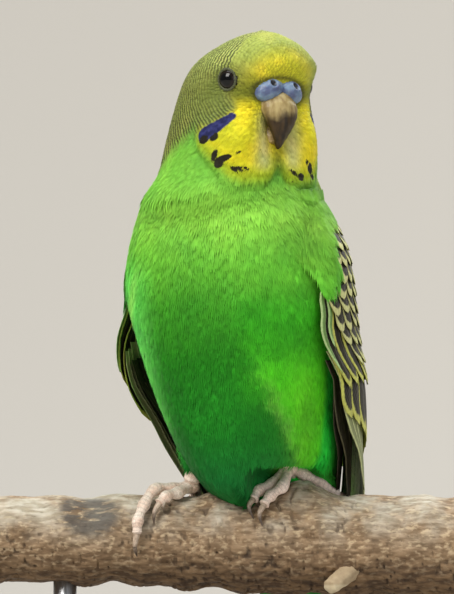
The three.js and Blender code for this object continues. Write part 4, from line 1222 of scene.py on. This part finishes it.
def flank_coat(side, low, high, reach, chance):
    """Feathers on the wing's front part: they start on the breast before its edge and climb over it."""
    z, share = chance.uniform(low, high, 2600), chance.uniform(-0.34, 0.46, 2600)
    edge = reach * ease((z - low) / 9) + (0.44 - reach) * rise(z, 60, 66) + 0.04 * chance.normal(0, 1, len(z))
    keep = (share < edge) & (z > low - 30 * np.minimum(share, 0))
    z, share = z[keep], share[keep]

    def at(up, onward):
        """The roots, moved up and onward by a share, which dip under the breast before the wing's edge."""
        place = share + onward
        return wing_point(side, z + up, place, 0.35 - 3 * ease(-place / 0.32))

    roots = at(0, 0)
    over_wing = side * unit(np.cross(at(0, 0.02) - at(0, -0.02), at(0.3, 0) - at(-0.3, 0)))
    direction = direction_of(roots)
    climb = rise(share, -0.3, 0.1)[:, None]
    normals = unit(skin_normal(z, direction) * (1 - climb) + over_wing * climb)
    direction = BODY_HEADING + np.clip(wrap(direction - BODY_HEADING), -1.33, 1.33)
    places = np.stack([(share + 0.35) / 0.8, (z - low) / (high - low)], -1)
    return roots, normals, skin_point(z, direction), places


def thigh_coat(side):
    """Feathers round the lower half of a thigh, pointing down its length."""
    grid = thigh_surface(side, -0.4)[0].reshape(THIGH_GRID, THIGH_GRID, 3)
    rows, columns = np.meshgrid(np.arange(16, THIGH_GRID - 1), np.arange(0, THIGH_GRID, 2), indexing="ij")
    rows, columns = rows.ravel(), columns.ravel()
    roots = grid[rows, columns]
    axis = grid.mean(1)
    places = np.stack([columns, rows], -1) / THIGH_GRID
    return roots, unit(roots - axis[rows]), roots, places, unit(axis[rows] - axis[rows - 2])


for name, side, low, high, reach, seed in (("left", 1, 46, 68, -0.05, 31), ("right", -1, 43, 68, 0.42, 32)):
    chance = np.random.default_rng(seed)
    roots, normals, mark_at, places = flank_coat(side, low, high, reach, chance)
    plant(f"coat_flank_{name}", roots, normals, along_surface(HANG, normals),
          feather_size(roots[:, 2] - PERCH_TOP, roots), places, chance, 7, mark_at)
    roots, normals, mark_at, places, flows = thigh_coat(name)
    size = [value + 0 * roots[:, 0] for value in (3.6, 1.1, 0.7, -0.2)]
    plant(f"coat_thigh_{name}", roots, normals, flows, size, places, chance, 7, mark_at)


# Tail: twelve graduated feathers, the two in the middle longest. They spring from the rump.
# Blue-green, the outer ones with olive rims, and made of vanes as the wings are.

TAIL_ROOT_BACK, TAIL_ROOT_Z, TAIL_LEAN, TAIL_LENGTH = 27.0, -12.0, np.radians(17), 78.0
# From the middle pair out: each pair's length as a share of the longest, and its root off the middle
TAIL_SHARES = (1.0, 0.84, 0.71, 0.61, 0.53, 0.46)
TAIL_OFFSETS = (1.1, 2.4, 3.6, 4.7, 5.7, 6.6)


def tail_point(left, down, over):
    """Left of the trunk's middle, down the tail's slant, and over its upper face."""
    back = TAIL_ROOT_BACK + down * np.sin(TAIL_LEAN) + over * np.cos(TAIL_LEAN)
    return trunk_point(left, back, TAIL_ROOT_Z - down * np.cos(TAIL_LEAN) + over * np.sin(TAIL_LEAN))


def tail_vane(side, index):
    """One tail feather: it spreads outwards as it runs down, and lies under the one nearer the middle."""
    share, offset = TAIL_SHARES[index], TAIL_OFFSETS[index]
    along, across, width, dark = vane_fields(1, 0.3 + 0.2 * share, 0.66, 0.8)
    down = 6 + (TAIL_LENGTH * share - 6) * along
    spread = side * offset * (0.75 + (0.1 + 0.3 / share) * along)
    face = np.broadcast_to(VANE_FACE, along.shape)
    thick = 0.11 * face * (1 - across**2) * (1.3 - along) + 0.02 * face
    layer = 0.9 - 0.42 * index + 0.1 * side - 0.22 * across**2 - 0.06 * across * side
    points = tail_point(spread + across * width * 2.75, down, layer + thick)
    return points, np.stack([dark, along, across], -1)


BLUE_GREEN, TEAL_RIM = tint(16, 62, 84), tint(40, 104, 92)
OLIVE_RIM, STEEL_BLUE = tint(176, 186, 74), tint(34, 84, 92)
batches = []
for index in range(len(TAIL_SHARES)):
    tones = (TEAL_RIM, BLUE_GREEN) if index == 0 else (OLIVE_RIM, STEEL_BLUE)
    batches += [(*tail_vane(side, index), np.stack(tones)) for side in (1, -1)]
tail = make_vanes("tail_vanes", batches, vane_finish("tail_vanes"))
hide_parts("tail")


# Eyes: dark glossy balls sunk in their sockets. Round each is a bare ring of grainy olive lid,
# a torus with low wrinkles.

EYE_RADIUS, EYE_DEPTH = 2.9, 2.05
LID_RING, LID_TUBE = 2.16, 0.3


def ball_shape(centre, axis, length, radius, around=48, along=32, relief=None):
    """An egg about a centre with its poles along an axis. relief(direction) moves its points out."""
    axis = unit(np.asarray(axis, float))
    side = unit(np.cross(axis, (0.3, 0.2, 1)))
    top = np.cross(side, axis)
    polar = np.linspace(0.004, np.pi - 0.004, along)[:, None, None]
    turn = np.linspace(0, 2 * np.pi, around, endpoint=False)[None, :, None]
    out = side * np.cos(turn) + top * np.sin(turn)
    points = centre + axis * np.cos(polar) * length + out * np.sin(polar) * radius
    if relief is not None:
        points = points + unit(points - centre) * relief(points)[..., None]
    return points.reshape(-1, 3), grid_faces(along, around, closed=True)


def lid_shape(centre, normal):
    """A ring of lid round the eye: a torus taller than it is wide, with low wrinkles round it."""
    side = unit(np.cross(normal, (0, 0, 1)))
    top = np.cross(side, normal)
    rings, sides = 96, 20
    turn = np.linspace(0, 2 * np.pi, rings, endpoint=False)[:, None, None]
    tube = np.linspace(0, 2 * np.pi, sides, endpoint=False)[None, :, None]
    size = LID_TUBE * (1 + 0.09 * np.sin(23 * turn) + 0.05 * np.sin(41 * turn + tube))
    out = side * np.cos(turn) * 0.95 + top * np.sin(turn) * 1.08
    points = centre + out * (LID_RING + size * np.cos(tube)) + normal * size * 0.8 * np.sin(tube)
    here, beyond = np.arange(sides), (np.arange(sides) + 1) % sides
    final = (rings - 1) * sides
    seam = np.stack([final + here, final + beyond, beyond, here], -1)
    return points.reshape(-1, 3), np.concatenate([grid_faces(rings, sides, closed=True), seam])


eye_finish, start, shader = new_finish("eye", Roughness=0.12, Specular_IOR_Level=0.3)
pupil = attribute(start, "Out").between(0.86, 0.9)
iris = noise(start, 2500.0).mix(colour(16, 11, 8), colour(30, 21, 14))
feed(shader, Base_Color=pupil.mix(iris, colour(5, 5, 6)))
lid_finish, start, shader = new_finish("lid", Roughness=0.6)
fleck = noise(start, 3000.0, 2.0)
feed(shader, Base_Color=fleck.tones((48, 52, 28), (84, 88, 54)), Normal=bump(start, fleck, 0.5, 0.00012))
for name, (point, normal) in EYES.items():
    centre = point - normal * EYE_DEPTH
    corners, faces = ball_shape(centre, normal, EYE_RADIUS, EYE_RADIUS - 0.1)
    eye = add_mesh(f"eyeball_{name}", corners, faces, eye_finish)
    add_values(eye, Out=unit(corners - centre) @ normal)
    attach(eye, "root")
    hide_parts(f"eye_{name}")
    lid = add_mesh(f"lid_{name}", *lid_shape(point - normal * 0.12, normal), lid_finish)
    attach(lid, "root")


# Beak: the hooked upper half of tan horn that turns dark to its tip, and the small lower half.
# Each is a limb along a short path in the face's middle.

UPPER_PATH = [face_point(0, *place) for place in (
    (12.5, 3.6), (15.1, 2.7), (16.8, 0.6), (17.3, -2.4), (17.2, -5), (16.7, -7.4))]
LOWER_PATH = [face_point(0, *place) for place in ((10, -2), (13.2, -3.2), (15.4, -5), (15.9, -6.2))]

horn, start, shader = new_finish("horn", Specular_IOR_Level=0.35)
streak = noise(start, 900.0, 4.0, (1, 1, 0.25))
flake = noise(start, 1600.0, 3.0)
cloud = noise(start, 300.0, 2.0)
tan = streak.tones((126, 104, 60), (166, 148, 100))
brown = streak.tones((30, 20, 6), (62, 44, 18))
level = object_height(start)
feed(shader, Base_Color=(level + cloud * 0.004 - 0.002).between(0.1852, 0.183).mix(tan, brown),
     Roughness=flake * 0.3 + 0.28, Normal=bump(start, streak + flake * 0.5, 0.35, 0.0002))
under_horn, start, shader = new_finish("under_horn", Roughness=0.45)
streak = noise(start, 900.0, 4.0)
feed(shader, Base_Color=streak.tones((120, 98, 56), (170, 148, 98)),
     Normal=bump(start, streak, 0.3, 0.0002))


def beak_ridge(share, angle):
    """A low keel along the upper beak's middle, and growth lines across it."""
    keel = 0.32 * bell(wrap(angle - np.pi / 2) / 0.5)
    return keel * ease(share / 0.3) + 0.035 * np.sin(58 * share)


upper_corners, upper_faces = limb_shape(
    UPPER_PATH, lambda t: 4.5 - 4.0 * rise(t, 0.3, 1.06), lambda t: 3.1 - 2.65 * rise(t, 0.15, 1.1), AHEAD,
    64, 90, 0.06, beak_ridge)
upper = add_mesh("beak_hook", upper_corners, upper_faces, horn)
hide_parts("beak_upper")
lower_corners, lower_faces = limb_shape(
    LOWER_PATH, lambda t: 3.4 - 1.8 * ease(t), lambda t: 2 - 1.2 * t, (0, 0, 1), 48, 50, 0.1)
lower = add_mesh("beak_under", lower_corners, lower_faces, under_horn)
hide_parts("beak_lower")
for piece in (upper, lower):
    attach(piece, "root")


# Cere: two soft violet-blue lobes over the beak, each with a nostril near its top. They are waxy
# eggs with low lumps, and a pit at each nostril whose dark inside is painted shade.

NOSTRILS = [face_point(-2.75, 17.75, 7.1), face_point(3.2, 17.6, 6.9)]


def cere_relief(points):
    """Waxy lumps, and a pit at each nostril with a raised rim round it."""
    x, z = points[..., 0], points[..., 2]
    lump = 0.05 * np.sin(x * 5.1 + 2 * np.sin(z * 3.7)) * np.sin(z * 4.3)
    near = np.min([np.linalg.norm(points - place, axis=-1) for place in NOSTRILS], axis=0)
    return lump - 1.1 * bell(near / 0.62) + 0.22 * hump(near, 1.05, 0.4)


wax, start, shader = new_finish("cere", Roughness=0.42, Subsurface_Weight=0.15, Subsurface_Scale=0.0008)
pit = attribute(start, "Pit")
cloud = noise(start, 420.0, 4.0)
waxen = cloud.tones((74, 84, 120), (112, 134, 160), 0.35, 0.65)
# Painted shade: nearly black inside each nostril's pit
feed(shader, Base_Color=pit.between(0.85, 0.55).mix(waxen, colour(16, 18, 26)),
     Normal=bump(start, cloud, 0.3, 0.0002))
lobes = []
for centre, length in ((-2.75, 3.7), (2.6, 3.4)):
    axis = face_point(np.sign(centre), 0, -0.42) - face_point(0, 0, 0)
    lobes.append(ball_shape(face_point(centre, 15.75, 5.5), axis, length, 2.5, 80, 60, cere_relief))
corners, faces = joined(lobes)
cere = add_mesh("cere_lobes", corners, faces, wax)
from_nostrils = [np.hypot((corners - place) @ SIDE, (corners - place) @ TOP) for place in NOSTRILS]
add_values(cere, Pit=np.min(from_nostrils, axis=0))
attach(cere, "root")
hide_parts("cere")


# Feet: grey-pink, scaly, two toes in front and two behind, round the branch. Claws of dark horn.
# Toes, shanks and claws are limbs along paths over the bark, and each claw is a piece of its own.

TOE_RADIUS, CLAW_RADIUS, CLAW_SUNK, GAP = 1.3, 0.78, 0.35, 0.3
# Ankle, toes and claws as x along the branch, angle round it, and lift over it
LEGS = {
    "left": {
        "ankle": (13.6, 4, 1.6),
        "toes": [[(9.8, 14, 0.4), (7, 26, 0.8), (5.7, 38, 0.1)],
                 [(12.2, 24, 0.2), (9.6, 36, 0.5), (8, 47, 0.1)],
                 [(17, -10, 0.2), (21, -18, 0.3), (25, -29, 0.1)],
                 [(15.4, -22, 0.2), (18.4, -42, 0.5), (20.2, -58, 0.1)]],
        "claws": [(4.9, 47, 5.9, 60), (7.2, 58, 7.9, 70), (27.6, -38, 28.6, -51), (21.6, -70, 21.8, -84)],
    },
    "right": {
        "ankle": (-8.2, 3, 0.6),
        "toes": [[(-12.2, 14, 0.3), (-15.9, 25, 0.9), (-18.4, 46, 0.1), (-19.8, 68, 0.5), (-19.9, 83, 0.1)],
                 [(-11, 24, 0.2), (-13.6, 38, 0.6), (-15.2, 47, 0.1)],
                 [(-10.6, -18, 0.2), (-14, -38, 0.6), (-16, -54, 0.1)],
                 [(-7, -20, 0.2), (-7.4, -42, 0.6), (-9, -58, 0.1)]],
        "claws": [(-20.4, 96, -19.9, 109), (-16.1, 58, -16.2, 70),
                  (-17.2, -67, -17.6, -82), (-10, -71, -10, -85)],
    },
}
TOE_SIDES, CLAW_SIDES, CLAW_ROWS = 28, 20, 40
OUTWARD = (0.02, -0.3, 1)


def toe_place(place):
    """The middle of a toe at x along the branch and degrees round it, lifted off the bark."""
    x, angle, lift = place
    return perch_point(x, np.radians(angle), TOE_RADIUS + GAP + lift)


def scute_rings(share, joints):
    """1 in the grooves between the scutes across a toe, and 0 on them."""
    return 1 - np.abs(np.sin(np.pi * 4.5 * joints * share)) ** 0.4


def toe_shape(leg, index):
    """A toe from the ankle to its last joint: a limb that swells at each joint, ringed by scutes above and
    padded below. Gives its points, its faces, and the scutes' grooves."""
    places = leg["toes"][index]
    joints = len(places)
    rows = 60 + 30 * joints

    def swell(share):
        return np.cos(2 * np.pi * joints * share)

    def size(share):
        return TOE_RADIUS * (1.06 - 0.2 * share + 0.11 * swell(share))

    def grooves(share, angle):
        return scute_rings(share, joints) * ease(np.sin(angle) * 0.8 + 0.6)

    def relief(share, angle):
        return 0.1 * swell(share) * ease(-np.sin(angle)) - 0.09 * grooves(share, angle)

    path = [toe_place(leg["ankle"]), *map(toe_place, places)]
    corners, faces = limb_shape(path, size, size, OUTWARD, TOE_SIDES, rows, 0.05, relief)
    angle = np.linspace(0, 2 * np.pi, TOE_SIDES, endpoint=False)
    return corners, faces, grooves(limb_shares(rows)[:, None], angle).ravel()


def shank_shape(side, leg):
    """The short bare shank from the ankle up into the thigh."""
    def size(share):
        return 1.9 - 0.4 * share

    def rings(share, angle):
        return 0.07 * np.abs(np.sin(30 * share))

    low, high = toe_place(leg["ankle"]), np.array(THIGHS[side][1])
    return limb_shape([low, (low + high) / 2, high], size, size, (0, 1, 0.1), TOE_SIDES, 60, 0.15, rings)


def claw_shape(leg, index):
    """A claw: a tapering hook from inside the toe's end, over and down to the bark."""
    def size(share):
        return CLAW_RADIUS * (1 - 0.86 * share**1.3)

    before, tip = leg["toes"][index][-2:]
    x1, angle1, x2, angle2 = leg["claws"][index]
    root = toe_place(np.array(tip) + (np.array(before) - tip) * CLAW_SUNK)
    path = [root, perch_point(x1, np.radians(angle1), 1.8), perch_point(x2, np.radians(angle2), GAP + 0.35)]
    return limb_shape(path, size, size, OUTWARD, CLAW_SIDES, CLAW_ROWS, 0.08)


scale_skin, start, shader = new_finish("scaly_skin", Roughness=0.55)
cells = start.node("TexVoronoi", {"feature": "DISTANCE_TO_EDGE"},
                   {"Vector": object_place(start), "Scale": 1300.0}, "Distance")
cloud = noise(start, 420.0, 3.0)
facing = start.node("SeparateXYZ", {}, {"Vector": start.node("NewGeometry", output="Normal")}, "Z")
dry = cloud.tones((222, 192, 172), (240, 222, 206), 0.35, 0.65)
dry = (facing.between(0.2, 0.9) * 0.55).mix(dry, colour(190, 186, 172))
# Painted light: the left foot is drawn paler, as if lit, though the belly shades it
dry = (attribute(start, "Pale") * 0.5).mix(dry, colour(250, 226, 212))
dry = (cells.between(0.0, 0.1) * -0.3 + 0.3).mix(dry, colour(112, 96, 86))
feed(shader, Base_Color=(attribute(start, "Scute") * 0.3).mix(dry, colour(104, 88, 78)),
     Normal=bump(start, cells.between(0.0, 0.14), 0.4, 0.00015))
claw_horn, start, shader = new_finish("claw_horn", Roughness=0.35)
streak = noise(start, 1200.0, 3.0)
horn_tip = streak.tones((52, 40, 32), (86, 70, 58))
horn_root = streak.tones((146, 126, 108), (182, 162, 142))
feed(shader, Base_Color=attribute(start, "Run").between(0.35, 0.8).mix(horn_root, horn_tip),
     Normal=bump(start, streak, 0.2, 0.0001))
for side, leg in LEGS.items():
    toes = [toe_shape(leg, index) for index in range(4)]
    above = [shank_shape(side, leg), ball_shape(toe_place(leg["ankle"]), (1, 0, 0), 2.1, 1.65, 32, 24)]
    corners, faces = joined(above + [toe[:2] for toe in toes])
    foot = add_mesh(f"toes_{side}", corners, faces, scale_skin)
    plain = np.zeros(sum(len(corners) for corners, _ in above))
    # Painted light on the left foot only
    add_values(foot, Scute=np.concatenate([plain, *(toe[2] for toe in toes)]),
               Pale=np.full(len(foot.data.vertices), float(side == "left")))
    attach(foot, "root")
    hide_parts(f"foot_{side}")
    for index in range(4):
        claw = add_mesh(f"hook_{side}_{index + 1}", *claw_shape(leg, index), claw_horn)
        add_values(claw, Run=np.repeat(limb_shares(CLAW_ROWS), CLAW_SIDES))
        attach(claw, "root")
        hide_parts(f"claw_{side}_{index + 1}")
